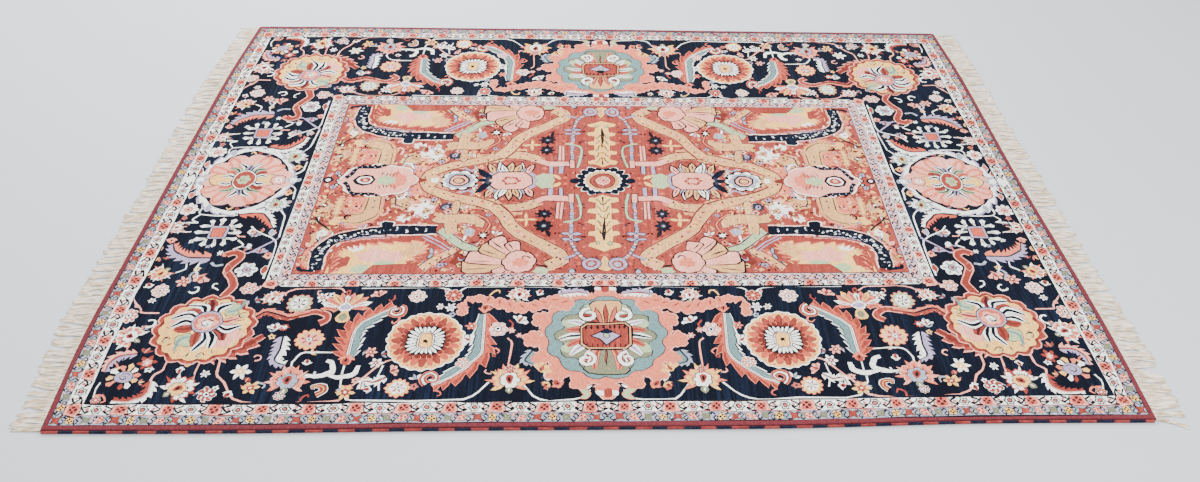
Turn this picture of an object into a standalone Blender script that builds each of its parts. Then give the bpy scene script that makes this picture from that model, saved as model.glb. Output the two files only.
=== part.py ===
"""A hand-knotted wool rug that lies flat, with an overcast cord down each long side and a
fringe of warp ends at both short ends.

Metres, +Z up. X runs from fringe to fringe and Y across the rug. The floor is z = 0, and the
origin is the middle of the rug's box on the floor.
"""

import math

import bmesh
import bpy
from mathutils import Matrix, Vector

# The rug as it was drawn, before the loom's unevenness: a true rectangle
HALF_LENGTH = 1.650  # to the edge of the pile at an end
HALF_WIDTH = 1.200  # to the outside of a side cord
PILE_THICK = 0.0112  # pile and foundation together
PILE_UNEVEN = 0.0007
PILE_ROUND = 0.0030  # the tufts splay over the edge in a small round
CORD_THICK = 0.0098
GAP = 0.0003  # between pieces that touch
CORD_SHORT = 0.0020  # a cord stops this much before the corner

# Where the four edges lie on the floor. A hand-woven rug is never quite square.
# across, left edge, right edge
END_EDGES = (
    (-1.20, -1.646, 1.652),
    (-0.80, -1.670, 1.660),
    (-0.40, -1.668, 1.654),
    (0.00, -1.664, 1.645),
    (0.40, -1.660, 1.645),
    (0.80, -1.653, 1.645),
    (1.20, -1.630, 1.628),
)
# along, front edge, back edge
SIDE_EDGES = (
    (-1.65, -1.218, 1.206),
    (-1.10, -1.218, 1.207),
    (-0.55, -1.211, 1.199),
    (0.00, -1.207, 1.194),
    (0.55, -1.203, 1.184),
    (1.10, -1.187, 1.175),
    (1.65, -1.184, 1.168),
)
BOW_FROM = 1.124  # an end's bow fades out at this distance from the middle

# Fringe
LOCKS = 120  # at an end
STRIP_WIDE = 0.0050
STRIP_THICK = 0.0035
LOCK_LONG = 0.0900
LOCK_ROOT = 0.56  # of the pitch from lock to lock
LOCK_BELLY = 1.22  # a lock spreads by this much in its middle
LOCK_TIP = 0.45  # and narrows to this at its tip
LOCK_THINS = 0.85  # each stretch of a lock is this much thinner at its end
BELLY_AT = 0.55  # of the lock's length
MOST_LEAN = math.radians(4.0)

# Cells of the pile's solid, which its cords share
CELLS_LONG = 20
CELLS_WIDE = 40

PILE_HALF_WIDTH = HALF_WIDTH - CORD_THICK - GAP


def smooth_through(rows, column, at):
    """A smooth curve through evenly spaced rows, read in one column at a place."""
    step = rows[1][0] - rows[0][0]
    place = min(max((at - rows[0][0]) / step, 0.0), len(rows) - 1.0)
    i = min(int(place), len(rows) - 2)
    t = place - i
    a, b = rows[i][column], rows[i + 1][column]
    before = rows[i - 1][column] if i > 0 else 2 * a - b
    after = rows[i + 2][column] if i + 2 < len(rows) else 2 * b - a
    bend = 2 * before - 5 * a + 4 * b - after
    turn = 3 * (a - b) + after - before
    return a + 0.5 * t * (b - before + t * (bend + t * turn))


def lie(p, q):
    """Where the point (p, q) of the true rectangle lies on the floor."""
    edge, end = (1, -HALF_LENGTH) if p < 0 else (2, HALF_LENGTH)
    pull = max(0.0, (abs(p) - BOW_FROM) / (HALF_LENGTH - BOW_FROM)) ** 2
    x = p + pull * (smooth_through(END_EDGES, edge, q) - end)
    front = smooth_through(SIDE_EDGES, 1, p)
    back = smooth_through(SIDE_EDGES, 2, p)
    y = (front + back) / 2 + (back - front) / 2 * q / HALF_WIDTH
    return x, y


def pile_height(x, y):
    """The pile's top: level, but for soft swells where the foundation is slack."""
    swell = math.sin(3.1 * x + 0.6) * math.cos(2.7 * y - 0.4) + 0.6 * math.sin(5.3 * x - 4.1 * y)
    return PILE_THICK + PILE_UNEVEN * swell / 1.6


def material(name, red, green, blue, roughness):
    made = bpy.data.materials.new(name)
    made.use_nodes = True
    shader = made.node_tree.nodes["Principled BSDF"]
    shader.inputs["Base Color"].default_value = (red, green, blue, 1.0)
    shader.inputs["Roughness"].default_value = roughness
    shader.inputs["Metallic"].default_value = 0.0
    return made


def collection(name):
    made = bpy.data.collections.new(name)
    bpy.context.scene.collection.children.link(made)
    return made


def add_object(name, data, finish, group):
    obj = bpy.data.objects.new(name, data)
    obj.data.materials.append(finish)
    group.objects.link(obj)
    return obj


def mesh_from(bm, name):
    bmesh.ops.recalc_face_normals(bm, faces=bm.faces)
    mesh = bpy.data.meshes.new(name)
    bm.to_mesh(mesh)
    bm.free()
    return mesh


def flat_grid(low, high, cells_long, cells_wide):
    """A grid over a stretch of the true rectangle, at z = 0."""
    bm = bmesh.new()
    bmesh.ops.create_grid(bm, x_segments=cells_long, y_segments=cells_wide, size=0.5)
    bmesh.ops.scale(bm, vec=Vector((high[0] - low[0], high[1] - low[1], 1.0)), verts=bm.verts)
    middle = Vector(((low[0] + high[0]) / 2, (low[1] + high[1]) / 2, 0.0))
    bmesh.ops.translate(bm, vec=middle, verts=bm.verts)
    return bm


def raise_top(bm, height):
    """Extrudes a flat grid upwards into a slab."""
    raised = bmesh.ops.extrude_face_region(bm, geom=bm.faces[:])
    top = [e for e in raised["geom"] if isinstance(e, bmesh.types.BMVert)]
    bmesh.ops.translate(bm, vec=Vector((0, 0, height)), verts=top)
    bm.normal_update()


def lay_down(bm):
    """Moves every vertex from the true rectangle to where it lies."""
    for v in bm.verts:
        v.co.x, v.co.y = lie(v.co.x, v.co.y)


def make_pile(finish, group):
    """The knotted body: foundation and pile in one slab with a rounded upper rim."""
    far = (HALF_LENGTH, PILE_HALF_WIDTH)
    bm = flat_grid((-far[0], -far[1]), far, CELLS_LONG, CELLS_WIDE)
    raise_top(bm, PILE_THICK)
    rim = [
        e
        for e in bm.edges
        if min(v.co.z for v in e.verts) > PILE_THICK / 2
        and any(abs(f.normal.z) < 0.5 for f in e.link_faces)
    ]
    bmesh.ops.bevel(
        bm, geom=rim, offset=PILE_ROUND, affect="EDGES", segments=2, profile=0.5, material=-1
    )
    lay_down(bm)
    for v in bm.verts:
        v.co.z *= pile_height(v.co.x, v.co.y) / PILE_THICK
    return add_object("pile", mesh_from(bm, "pile"), finish, group)


def make_side_cord(name, side, finish, group):
    """The overcast cord along a long side, lying on the floor beside the pile."""
    curve = bpy.data.curves.new(name, "CURVE")
    curve.dimensions = "3D"
    curve.bevel_depth = CORD_THICK / 2
    curve.bevel_resolution = 2
    curve.use_fill_caps = True
    spline = curve.splines.new("POLY")
    spline.points.add(CELLS_LONG)
    for i, point in enumerate(spline.points):
        p = (HALF_LENGTH - CORD_SHORT) * (2 * i / CELLS_LONG - 1)
        x, y = lie(p, side * (HALF_WIDTH - CORD_THICK / 2))
        point.co = (x, y, CORD_THICK / 2, 1.0)
    return add_object(name, curve, finish, group)


def lock_lean(q, end):
    """How far a lock leans towards +Y: neighbours drift together along the end."""
    drift = math.sin(2.3 * q + end) + 0.7 * math.sin(7.1 * q - 2.0 * end)
    return MOST_LEAN * drift / 1.7


def lock_length(q, end):
    uneven = 0.05 * math.sin(5.7 * q + 1.3 * end) + 0.04 * math.sin(23.0 * q)
    return LOCK_LONG * (1 + uneven)


def grow_lock(bm, root, q, end):
    """Extrudes a root face into a lock that lies on the floor and narrows to its tip."""
    lean, length = lock_lean(q, end), lock_length(q, end)
    stretches = (
        (BELLY_AT, lean, LOCK_BELLY),
        (1 - BELLY_AT, 2 * lean, LOCK_TIP / LOCK_BELLY),
    )
    face = root
    for share, turn, widen in stretches:
        face = bmesh.ops.extrude_discrete_faces(bm, faces=[face])["faces"][0]
        way = Vector((end * math.cos(turn), math.sin(turn), 0.0))
        bmesh.ops.translate(bm, vec=way * share * length, verts=face.verts)
        foot = face.calc_center_median()
        foot.z = 0.0
        grown = Vector((1.0, widen, LOCK_THINS))
        bmesh.ops.scale(bm, vec=grown, verts=face.verts, space=Matrix.Translation(-foot))


def make_fringe(name, end, finish, group):
    """A narrow flat-woven strip at an end, with the locks that grow from its outer side."""
    inner = HALF_LENGTH + GAP
    outer = inner + STRIP_WIDE
    reach = PILE_HALF_WIDTH
    pitch = 2 * reach / LOCKS
    near, far = sorted((end * inner, end * outer))
    bm = flat_grid((near, -reach), (far, reach), 1, 2 * LOCKS)
    for v in bm.verts:
        line = round((v.co.y + reach) / (pitch / 2))
        if line % 2:
            v.co.y += (LOCK_ROOT - 0.5) * pitch
    raise_top(bm, STRIP_THICK)
    wall = [f for f in bm.faces if f.normal.x * end > 0.5]
    wall.sort(key=lambda f: f.calc_center_median().y)
    roots = [(f, f.calc_center_median().y) for f in wall[::2]]
    lay_down(bm)
    for root, q in roots:
        grow_lock(bm, root, q, end)
    return add_object(name, mesh_from(bm, name), finish, group)


def centre_on_floor(objects):
    """Moves the whole rug so that the middle of its box is above the origin."""
    bpy.context.view_layer.update()
    corners = [o.matrix_world @ Vector(c) for o in objects for c in o.bound_box]
    for axis in range(2):
        places = [c[axis] for c in corners]
        for o in objects:
            o.location[axis] -= (min(places) + max(places)) / 2


def main():
    for old in list(bpy.data.objects):
        bpy.data.objects.remove(old)
    rug = collection("rug")
    pile_wool = material("pile_wool", 0.42, 0.16, 0.13, 0.95)
    cord_wool = material("cord_wool", 0.55, 0.14, 0.11, 0.90)
    fringe_cotton = material("fringe_cotton", 0.72, 0.66, 0.56, 0.85)
    pieces = [make_pile(pile_wool, rug)]
    for side, word in ((-1, "front"), (1, "back")):
        pieces.append(make_side_cord(f"side_cord_{word}", side, cord_wool, rug))
    for end, word in ((-1, "left"), (1, "right")):
        pieces.append(make_fringe(f"fringe_{word}", end, fringe_cotton, rug))
    centre_on_floor(pieces)


main()
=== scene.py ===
# %% [markdown]
# A hand-knotted Persian rug, lying flat on a floor. The frame gives its solids: a slab for the
# knotted pile, a tube for each side cord and a row of locks for each fringe. This lesson dresses
# them. The drawing is woven from flat coloured outlines, the way a weaver follows a plan, and is
# made once for one quarter of the rug and mirrored. The cords get their wrapped yarn and the
# fringes their strands.

# %% Load the frame
import math
import random

import bmesh
import bpy
import numpy as np
from mathutils import Matrix, Vector
from mathutils.geometry import delaunay_2d_cdt


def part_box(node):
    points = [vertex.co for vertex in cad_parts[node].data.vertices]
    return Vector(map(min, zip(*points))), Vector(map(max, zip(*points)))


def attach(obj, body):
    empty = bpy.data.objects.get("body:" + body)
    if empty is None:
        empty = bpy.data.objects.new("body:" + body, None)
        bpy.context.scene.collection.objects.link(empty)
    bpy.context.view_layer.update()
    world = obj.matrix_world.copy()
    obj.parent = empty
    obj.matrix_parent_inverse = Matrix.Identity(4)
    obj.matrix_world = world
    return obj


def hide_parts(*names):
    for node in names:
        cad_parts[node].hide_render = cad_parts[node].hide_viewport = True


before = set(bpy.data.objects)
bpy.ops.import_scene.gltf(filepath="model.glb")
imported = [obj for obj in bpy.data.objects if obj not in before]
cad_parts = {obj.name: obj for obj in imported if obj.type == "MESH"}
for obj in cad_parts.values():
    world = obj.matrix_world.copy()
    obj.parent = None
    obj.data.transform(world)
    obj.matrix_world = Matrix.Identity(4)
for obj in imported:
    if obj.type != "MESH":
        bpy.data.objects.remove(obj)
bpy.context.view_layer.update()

random.seed(11)
print("solids:", sorted(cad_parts))

# %% [markdown]
# Wool is dyed in the skein, so a rug has few colours and each is a name. The tables give how each
# wool should look in the finished view, as sRGB hex values. The light and the view wash colours
# out, so the dye itself is deeper: one rule gives it, in the linear numbers that shaders want.

# %% Wools
WOOLS = {
    "navy": "#1e2336", "coral": "#c65f4e", "rust": "#b24c3e", "apricot": "#dc8e6c", "peach": "#e0aa8e",
    "pink": "#e2c0b4", "ivory": "#e6e0dc", "straw": "#e2cc94", "tan": "#dac198", "duck": "#a0b8b8",
    "sky": "#bcbfc7", "shell": "#d6cacc", "lilac": "#c6becc", "sage": "#b0b094", "mint": "#c6ceb6",
    "plum": "#302632", "madder": "#86303a", "slate": "#42465c", "field": "#c86956", "rose": "#da947c",
    "indigo": "#2c3054", "crimson": "#ac4e58",
}
# Some skeins of the same dye came out paler. The pile shows them as bands along the weft.
SKEINS = {
    "navy": "#2e4268", "coral": "#d68470", "straw": "#e4d6b0", "ivory": "#e7e2df", "sky": "#ced0d5",
    "field": "#d4826e", "pink": "#e5ccc3", "tan": "#e0ceac", "rose": "#dea490", "plum": "#543e46",
    "slate": "#6e7688",
}
FADED = 0.17  # share of its colour that a wool has lost to light and wear
DARK_DYE = 0.335  # a dark wool's dye, as a share of how bright it looks
PALE_DYE, PALE_RISE = 2.46, 3.45  # pale dyes rise above that share, because the view dims them
WHITEST = 0.91  # of any wool


def linear(hex_colour, faded=0.0):
    """An sRGB hex colour as linear red, green, blue and alpha, after it has faded by a share."""
    parts = np.array([int(hex_colour[i : i + 2], 16) / 255 for i in (1, 3, 5)])
    parts += faded * (parts @ (0.3, 0.59, 0.11) - parts)
    return (*np.where(parts <= 0.04045, parts / 12.92, ((parts + 0.055) / 1.055) ** 2.4), 1.0)


def wool_dye(hex_colour):
    """The linear dye of a wool that should look like this, faded, in the finished view."""
    *looks, alpha = linear(hex_colour, FADED)
    return (*(min(c * (DARK_DYE + PALE_DYE * c**PALE_RISE), WHITEST) for c in looks), alpha)


# %% [markdown]
# No hand-woven rug is square. These are the places of its four edges on the floor, and the plan
# is drawn to a true rectangle and then laid down between them. The frame centres the rug on its
# own box, so the shift between the two is read from the pile's solid.

# %% Where the rug lies
HALF_LENGTH, HALF_WIDTH = 1.65, 1.2
PILE_THICK, PILE_UNEVEN = 0.0112, 0.0007
CORD_THICK, GAP = 0.0098, 0.0003
RIM_ROUND, RIM_STEPS = 0.003, 3
PILE_HALF_WIDTH = HALF_WIDTH - CORD_THICK - GAP
# across, left edge, right edge
END_EDGES = (
    (-1.2, -1.646, 1.652),
    (-0.8, -1.67, 1.66),
    (-0.4, -1.668, 1.654),
    (0.0, -1.664, 1.645),
    (0.4, -1.66, 1.645),
    (0.8, -1.653, 1.645),
    (1.2, -1.63, 1.628),
)
# along, front edge, back edge
SIDE_EDGES = (
    (-1.65, -1.218, 1.206),
    (-1.1, -1.218, 1.207),
    (-0.55, -1.211, 1.199),
    (0.0, -1.207, 1.194),
    (0.55, -1.203, 1.184),
    (1.1, -1.187, 1.175),
    (1.65, -1.184, 1.168),
)
BOW_FROM = 1.124  # an end's bow fades out at this distance from the middle
MIDDLE = (0.0095, -0.008)  # the drawing's centre strays this far from the rug's


def smooth_through(rows, column, at):
    """A smooth curve through evenly spaced rows, read in one column at many places."""
    at = np.asarray(at, float)
    values = np.array([row[column] for row in rows])
    values = np.concatenate(([2 * values[0] - values[1]], values, [2 * values[-1] - values[-2]]))
    place = np.clip((at - rows[0][0]) / (rows[1][0] - rows[0][0]), 0.0, len(rows) - 1.0)
    i = np.minimum(place.astype(int), len(rows) - 2)
    t = place - i
    before, a, b, after = (values[i + k] for k in range(4))
    bend = 2 * before - 5 * a + 4 * b - after
    turn = 3 * (a - b) + after - before
    return a + 0.5 * t * (b - before + t * (bend + t * turn))


def lie(p, q):
    """Where points of the true rectangle lie on the floor, before the shift to the frame."""
    p, q = np.asarray(p, float), np.asarray(q, float)
    left, right = smooth_through(END_EDGES, 1, q), smooth_through(END_EDGES, 2, q)
    edge = np.where(p < 0, left, right)
    straight = np.where(p < 0, np.mean(END_EDGES, axis=0)[1], np.mean(END_EDGES, axis=0)[2])
    pull = np.maximum(0.0, (np.abs(p) - BOW_FROM) / (HALF_LENGTH - BOW_FROM)) ** 2
    reach = straight + (edge - straight) * pull
    x = MIDDLE[0] + np.abs(p) / HALF_LENGTH * (reach - MIDDLE[0])
    front, back = smooth_through(SIDE_EDGES, 1, p), smooth_through(SIDE_EDGES, 2, p)
    across = q / HALF_WIDTH
    y = (front + back) / 2 + (back - front) / 2 * across + MIDDLE[1] * (1 - across**2)
    return x, y


def pile_height(x, y):
    swell = np.sin(3.1 * x + 0.6) * np.cos(2.7 * y - 0.4) + 0.6 * np.sin(5.3 * x - 4.1 * y)
    return PILE_THICK + PILE_UNEVEN * swell / 1.6


rim_q = np.linspace(-PILE_HALF_WIDTH, PILE_HALF_WIDTH, 41)
rim_p = np.linspace(-HALF_LENGTH, HALF_LENGTH, 21)
outline_x = np.concatenate([lie(np.full(41, s * HALF_LENGTH), rim_q)[0] for s in (-1, 1)])
outline_y = np.concatenate([lie(rim_p, np.full(21, s * PILE_HALF_WIDTH))[1] for s in (-1, 1)])
pile_low, pile_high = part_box("pile")
SHIFT = np.array([
    (pile_low.x + pile_high.x) / 2 - (outline_x.min() + outline_x.max()) / 2,
    (pile_low.y + pile_high.y) / 2 - (outline_y.min() + outline_y.max()) / 2,
])
print("shift to the frame, mm:", np.round(SHIFT * 1000, 1))

# %% [markdown]
# The drawing. A weaver follows a plan on squared paper, knot by knot. Here the plan is a list of
# flat outlines, each in one wool and laid over the ones before it. Small functions make the
# outlines that all such rugs share: petals, lobed rims, toothed leaves, ribbons and spirals. All
# lengths of the plan and its net are in millimetres. They become metres when the cloth is laid.

# %% Drawing on the loom plan
drawing = []  # (wool, outline), each over the ones before it


def spot(x, y, turn=0, size=1.0, flip=1):
    """A place on the plan: a function that carries an outline there."""
    c, s = size * math.cos(math.radians(turn)), size * math.sin(math.radians(turn))
    return lambda shape: [(x + flip * c * a - s * b, y + flip * s * a + c * b) for a, b in shape]


def on(at, x=0, y=0, turn=0, size=1.0, flip=1):
    """A place that is measured from another place."""
    inner = spot(x, y, turn, size, flip)
    return lambda shape: at(inner(shape))


HERE = spot(0, 0)


def area(shape):
    return sum(a[0] * b[1] - b[0] * a[1] for a, b in zip(shape, shape[1:] + shape[:1])) / 2


def swell(shape, by):
    """The same outline, grown outwards all round."""
    side = 1 if area(shape) > 0 else -1
    grown = []
    for before, here, after in zip(shape[-1:] + shape[:-1], shape, shape[1:] + shape[:1]):
        dx, dy = after[0] - before[0], after[1] - before[1]
        length = math.hypot(dx, dy) or 1.0
        grown.append((here[0] + side * by * dy / length, here[1] - side * by * dx / length))
    return grown


def weave(wool, shape, at=HERE, rim=None, rim_wide=3):
    """Puts an outline on the plan in one wool, with a thin line round it if rim is given."""
    placed = at(shape)
    if rim:
        drawing.append((rim, swell(placed, rim_wide)))
    drawing.append((wool, placed))


def layers(at, *woven):
    """Outlines over one another at one place: a wool, its outline, the next wool and so on."""
    for wool, shape in zip(woven[::2], woven[1::2]):
        weave(wool, shape, at)


# %% Outlines
def disc(radius, squash=1.0, steps=18):
    turns = [math.tau * i / steps for i in range(steps)]
    return [(radius * math.cos(a), radius * squash * math.sin(a)) for a in turns]


def lobed(radius, lobes, depth=0.15, sharp=0.6, squash=1.0, steps=6, start=0):
    """A rim of lobes: round ones when sharp is small, pointed petals when it is 2 or more."""
    shape = []
    for i in range(lobes * steps):
        a = math.tau * i / (lobes * steps)
        swing = abs(math.cos(lobes * a / 2)) ** sharp
        r = radius * (1 - depth * (1 - swing))
        a += math.radians(start)
        shape.append((r * math.cos(a), r * squash * math.sin(a)))
    return shape


def block(wide, high, cut=0):
    """A rectangle with its corners cut."""
    a, b = wide / 2, high / 2
    if not cut:
        return [(-a, -b), (a, -b), (a, b), (-a, b)]
    return [
        (-a + cut, -b), (a - cut, -b), (a, -b + cut), (a, b - cut),
        (a - cut, b), (-a + cut, b), (-a, b - cut), (-a, -b + cut),
    ]


POINTED = ((0, 0.3), (0.25, 0.8), (0.5, 1.0), (0.75, 0.7), (1.0, 0))
ROUNDED = ((0, 0.35), (0.3, 0.75), (0.65, 1.0), (0.88, 0.75), (1.0, 0.25))
BLUNT = ((0, 0.3), (0.45, 0.8), (0.85, 1.0), (0.97, 0.8), (1.0, 0.4))
DROP = ((0, 0.05), (0.4, 0.6), (0.7, 1.0), (0.9, 0.8), (1.0, 0.3))
FLARED = ((0, 0.3), (0.5, 0.55), (0.8, 1.0), (0.86, 0.6), (1.0, 0))


def petal(near, far, wide, profile=POINTED):
    """A petal along +Y, from near to far. The profile gives its half width along it."""
    side = [(wide / 2 * w, near + (far - near) * t) for t, w in profile]
    other = [(-x, y) for x, y in reversed(side) if x > 0]
    return side + other


def rib(points, steps=5):
    """A smooth line through a few points, with the unit direction at each place."""
    line = []
    for i in range(len(points) - 1):
        a, b = points[i], points[i + 1]
        before = points[i - 1] if i else (2 * a[0] - b[0], 2 * a[1] - b[1])
        after = points[i + 2] if i + 2 < len(points) else (2 * b[0] - a[0], 2 * b[1] - a[1])
        for k in range(steps):
            t = k / steps
            line.append(
                tuple(
                    p1 + 0.5 * t * (
                        p2 - p0 + t * (2 * p0 - 5 * p1 + 4 * p2 - p3 + t * (3 * (p1 - p2) + p3 - p0))
                    ) for p0,
                    p1, p2, p3 in zip(before, a, b, after)
                )
            )
    line.append(points[-1])
    ways = []
    for before, after in zip(line[:1] + line[:-1], line[1:] + line[-1:]):
        dx, dy = after[0] - before[0], after[1] - before[1]
        length = math.hypot(dx, dy) or 1.0
        ways.append((dx / length, dy / length))
    return line, ways


def beside(line, ways, offsets):
    """The line moved sideways, to the left of its direction, by an offset at each place."""
    return [
        (x - off * wy, y + off * wx) for (x, y), (wx, wy), off in zip(line, ways, offsets)
    ]


def ribbon(points, wide, start=1.0, end=1.0, belly=1.0, steps=5):
    """A band along a smooth line. start, end and belly are shares of its width."""
    line, ways = rib(points, steps)
    last = len(line) - 1
    half = []
    for i in range(len(line)):
        t = i / last
        share = start + (end - start) * t + (belly - (start + end) / 2) * math.sin(math.pi * t)
        half.append(max(wide / 2 * share, 0.2))
    return beside(line, ways, half) + beside(line, ways, [-h for h in half])[::-1]


def toothed(points, wide, teeth, bite, side=1, end=0.3, steps=8):
    """A leaf on one side of a rib, with teeth on its outer edge that lean forwards."""
    line, ways = rib(points, steps)
    last = len(line) - 1
    outer = []
    for k in range(teeth):
        for share, out in ((0, 0), (0.3, 0.45), (0.95, 1), (0.85, 0.25)):
            t = min((k + share) / teeth, 1.0)
            body = wide * (math.sin(math.pi * min(0.15 + 0.85 * t, 1.0)) * (1 - end) + end)
            off = side * (body + bite * out * (1 - 0.35 * t))
            i = t * last
            low = min(int(i), last - 1)
            f = i - low
            x = line[low][0] * (1 - f) + line[low + 1][0] * f
            y = line[low][1] * (1 - f) + line[low + 1][1] * f
            wx, wy = ways[low]
            outer.append((x - off * wy, y + off * wx))
    return line + outer[::-1]


def spiral(turns, radius, wide, start=0, inner=0.25, hand=1, steps=14):
    """A curled stem that winds in towards its middle."""
    count = max(4, int(turns * steps))
    points = []
    for i in range(count + 1):
        t = i / count
        r = radius * (1 - (1 - inner) * t)
        a = math.radians(start) + hand * math.tau * turns * t
        points.append((r * math.cos(a), r * math.sin(a)))
    return ribbon(points, wide, end=0.6, steps=1)

# %% [markdown]
# Bands, guards and motifs. The plan shows the front left quarter, with the middle of the rug at
# the origin. Its bands run round the field from the edge inwards.

# %% Bands
HALF_U, HALF_V = 1684, 1206

# from the edge inwards: wool, width at an end, width at a side
BANDS = (
    ("crimson", 13, 12),
    ("plum", 2, 2),
    ("sky", 31, 35),
    ("coral", 2, 3),
    ("ivory", 44, 38),
    ("plum", 3, 3),
    ("navy", 413, 510),
    ("plum", 2, 2),
    ("ivory", 37, 31),
    ("coral", 2, 2),
    ("shell", 37, 30),
    ("plum", 3, 3),
    ("field", 0, 0),
)


def lay_bands():
    left, low = -HALF_U, -HALF_V
    edges = []
    for wool, at_end, at_side in BANDS:
        weave(wool, [(left, low), (20, low), (20, 20), (left, 20)])
        edges.append((wool, left, low))
        left += at_end
        low += at_side
    return edges


def dots(at, wool, count, reach, radius=4):
    for k in range(count):
        weave(wool, disc(radius, steps=6), on(on(at, turn=360 * k / count), reach, 0))


def dotted_flower(at, wool="madder", ground="pink"):
    weave(ground, lobed(17.5, 4, 0.25, 0.7, start=45), at)
    dots(at, wool, 4, 7.8, 4.6)


def lined_flower(at):
    layers(
        at, "plum", lobed(18, 6, 0.3, 0.8, steps=2), "ivory", lobed(13.2, 6, 0.3, 0.8, steps=2),
        "slate", disc(8.5, steps=7), "rose", disc(5, steps=5)
    )


def guard_curl(at, flip=1):
    at = on(at, flip=flip)
    weave("plum", ribbon(((-14, -16), (8, -11), (-8, 3), (12, 15)), 5.8, steps=2), at)
    weave("plum", petal(0, 14, 10), on(at, 4, -8, turn=-65))
    weave("slate", petal(0, 12, 8), on(at, -6, 4, turn=60))
    weave("rose", disc(5, steps=5), on(at, 7, 3))


def flower_unit(at, size=1.0):
    """142 mm of the ivory guard: a dotted flower, a lined flower and the curls between."""
    layers(
        at, "plum", [(-30, -17 * size), (28, -17 * size), (21, 17 * size), (-22, 17 * size)],
        "pink", [(-27, -17 * size), (25, -17 * size), (18, 17 * size), (-19, 17 * size)]
    )
    dotted_flower(on(at, size=size), "madder", "rose")
    lined_flower(on(at, 71, size=size))
    for x, flip in ((33.5, 1), (108.5, -1)):
        guard_curl(on(at, x, size=size), flip)


def fan_leaf(at, wool):
    weave(
        wool, [(-12, -12), (-2, -6), (12, -14), (7, 0), (12, 14), (-2, 6), (-12, 12), (-7, 0)], at,
        rim="plum", rim_wide=2
    )


def leaf_unit(at, size=1.0):
    """180 mm of the pale blue guard."""
    fan_leaf(on(at, 0, size=1.15 * size), "coral")
    weave("plum", disc(16, steps=8), on(at, 45, size=size))
    dotted_flower(on(at, 45, size=0.8 * size), "plum", "straw")
    fan_leaf(on(at, 90, size=1.1 * size, flip=-1), "sage")
    layers(
        on(at, 135, size=size), "plum", lobed(17, 6, 0.2, 0.6, steps=2),
        "pink", lobed(14.5, 6, 0.2, 0.6, steps=2)
    )
    dots(on(at, 135), "coral", 3, 7, 4.2)
    for x, turn, wool in ((22, 80, "duck"), (67, 200, "lilac"), (113, 20, "pink"), (158, 140, "sage")):
        weave(
            "plum", ribbon(((x - 7, -16), (x + 5, -6), (x - 5, 6), (x + 7, 16)), 4.8, steps=2),
            on(at, size=size)
        )
        weave(wool, disc(5.2, steps=6), on(at, x + 8, -9))
        weave(wool, disc(5.2, steps=6), on(at, x - 7, 9))
        weave("slate", petal(-7, 7, 7), on(at, x + 8, 9, turn=turn))
        weave("plum", petal(-5, 5, 6), on(at, x - 8, -10, turn=turn))


def dash_unit(at, size=1.0):
    """71 mm of the inner guard: small marks in dark and green wool."""
    for x, y, wool, turn in (
        (4, 8, "slate", 30), (14, -8, "plum", -20), (26, 9, "sage", 60), (38, -8, "slate", 15),
        (49, 6, "madder", -40), (60, -9, "duck", 20), (12, 2, "pink", 70), (52, -3, "slate", 80)
    ):
        weave(wool, petal(-7, 7, 6.2), on(at, x, y * size, turn=turn))
    for x in (12, 48):
        weave("plum", ribbon(((x - 11, -13), (x + 6, -8), (x - 6, 3), (x + 10, 12)), 4.8, steps=2), at)
    layers(on(at, 29, 0), "pink", lobed(10.5, 5, 0.25, 0.6, steps=2), "plum", disc(4, steps=5))
    weave("plum", disc(5, steps=5), on(at, 67, 2))


def lay_guards(edges):
    for index, unit, period, size in (
        (2, leaf_unit, 180, 1.0), (4, flower_unit, 142, 1.1), (8, flower_unit, 142, 0.9),
        (10, dash_unit, 71, 1.0)
    ):
        _, left, low = edges[index]
        _, left_in, low_in = edges[index + 1]
        mid_u, mid_v = (left + left_in) / 2, (low + low_in) / 2
        for k in range(int(-mid_u / period) + 1):
            unit(spot(mid_u + k * period, mid_v), size)
        for k in range(int(-mid_v / period) + 1):
            unit(spot(mid_u, mid_v + k * period, turn=90), size)


edges = lay_bands()
lay_guards(edges)

# %% [markdown]
# Flowers and leaves. A pattern like this one has a few dozen kinds, and each is turned and
# sized in many places. A small function for each kind keeps a place down to one line of a table.

# %% Flowers
def ring_of(at, wool, count, shape, start=0):
    for k in range(count):
        weave(wool, shape, on(at, turn=start + 360 * k / count))


def rosette(at, outer="peach", ring="ivory", eye="madder", petals=8, radius=30):
    """A small round flower seen from above."""
    layers(
        at, "ivory" if outer != "ivory" else "slate", lobed(radius + 1.8, petals, 0.22, 0.9, steps=4),
        outer, lobed(radius, petals, 0.24, 0.9, steps=4)
    )
    ring_of(at, ring, petals, petal(radius * 0.45, radius * 0.85, radius * 0.28), 180 / petals)
    layers(
        at, "slate", disc(radius * 0.45, steps=8), ring, disc(radius * 0.36, steps=8),
        eye, disc(radius * 0.18, steps=6)
    )


def daisy(at, rim="straw", ring="pink", eye="coral", petals=12, radius=45):
    """A round many-petalled flower."""
    at = on(at, size=radius / 45)
    layers(
        at, "peach", lobed(47, petals, 0.2, 0.8, steps=4), rim, lobed(43, petals, 0.2, 0.8, steps=4),
        ring, lobed(31, petals // 2, 0.2, 0.7)
    )
    ring_of(at, eye, petals // 2, petal(10, 27, 8), 15)
    layers(at, "slate", disc(11, steps=8), "ivory", disc(9, steps=8), "slate", disc(4, steps=6))


def star(at, wool="ivory", eye="coral", points=6, radius=30):
    """A small flower with pointed petals."""
    layers(
        at, wool, lobed(radius, points, 0.55, 1.5, steps=4),
        eye, lobed(radius * 0.5, points, 0.4, 1.2, steps=4, start=180 / points),
        "ivory", disc(radius * 0.16, steps=6)
    )


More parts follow.
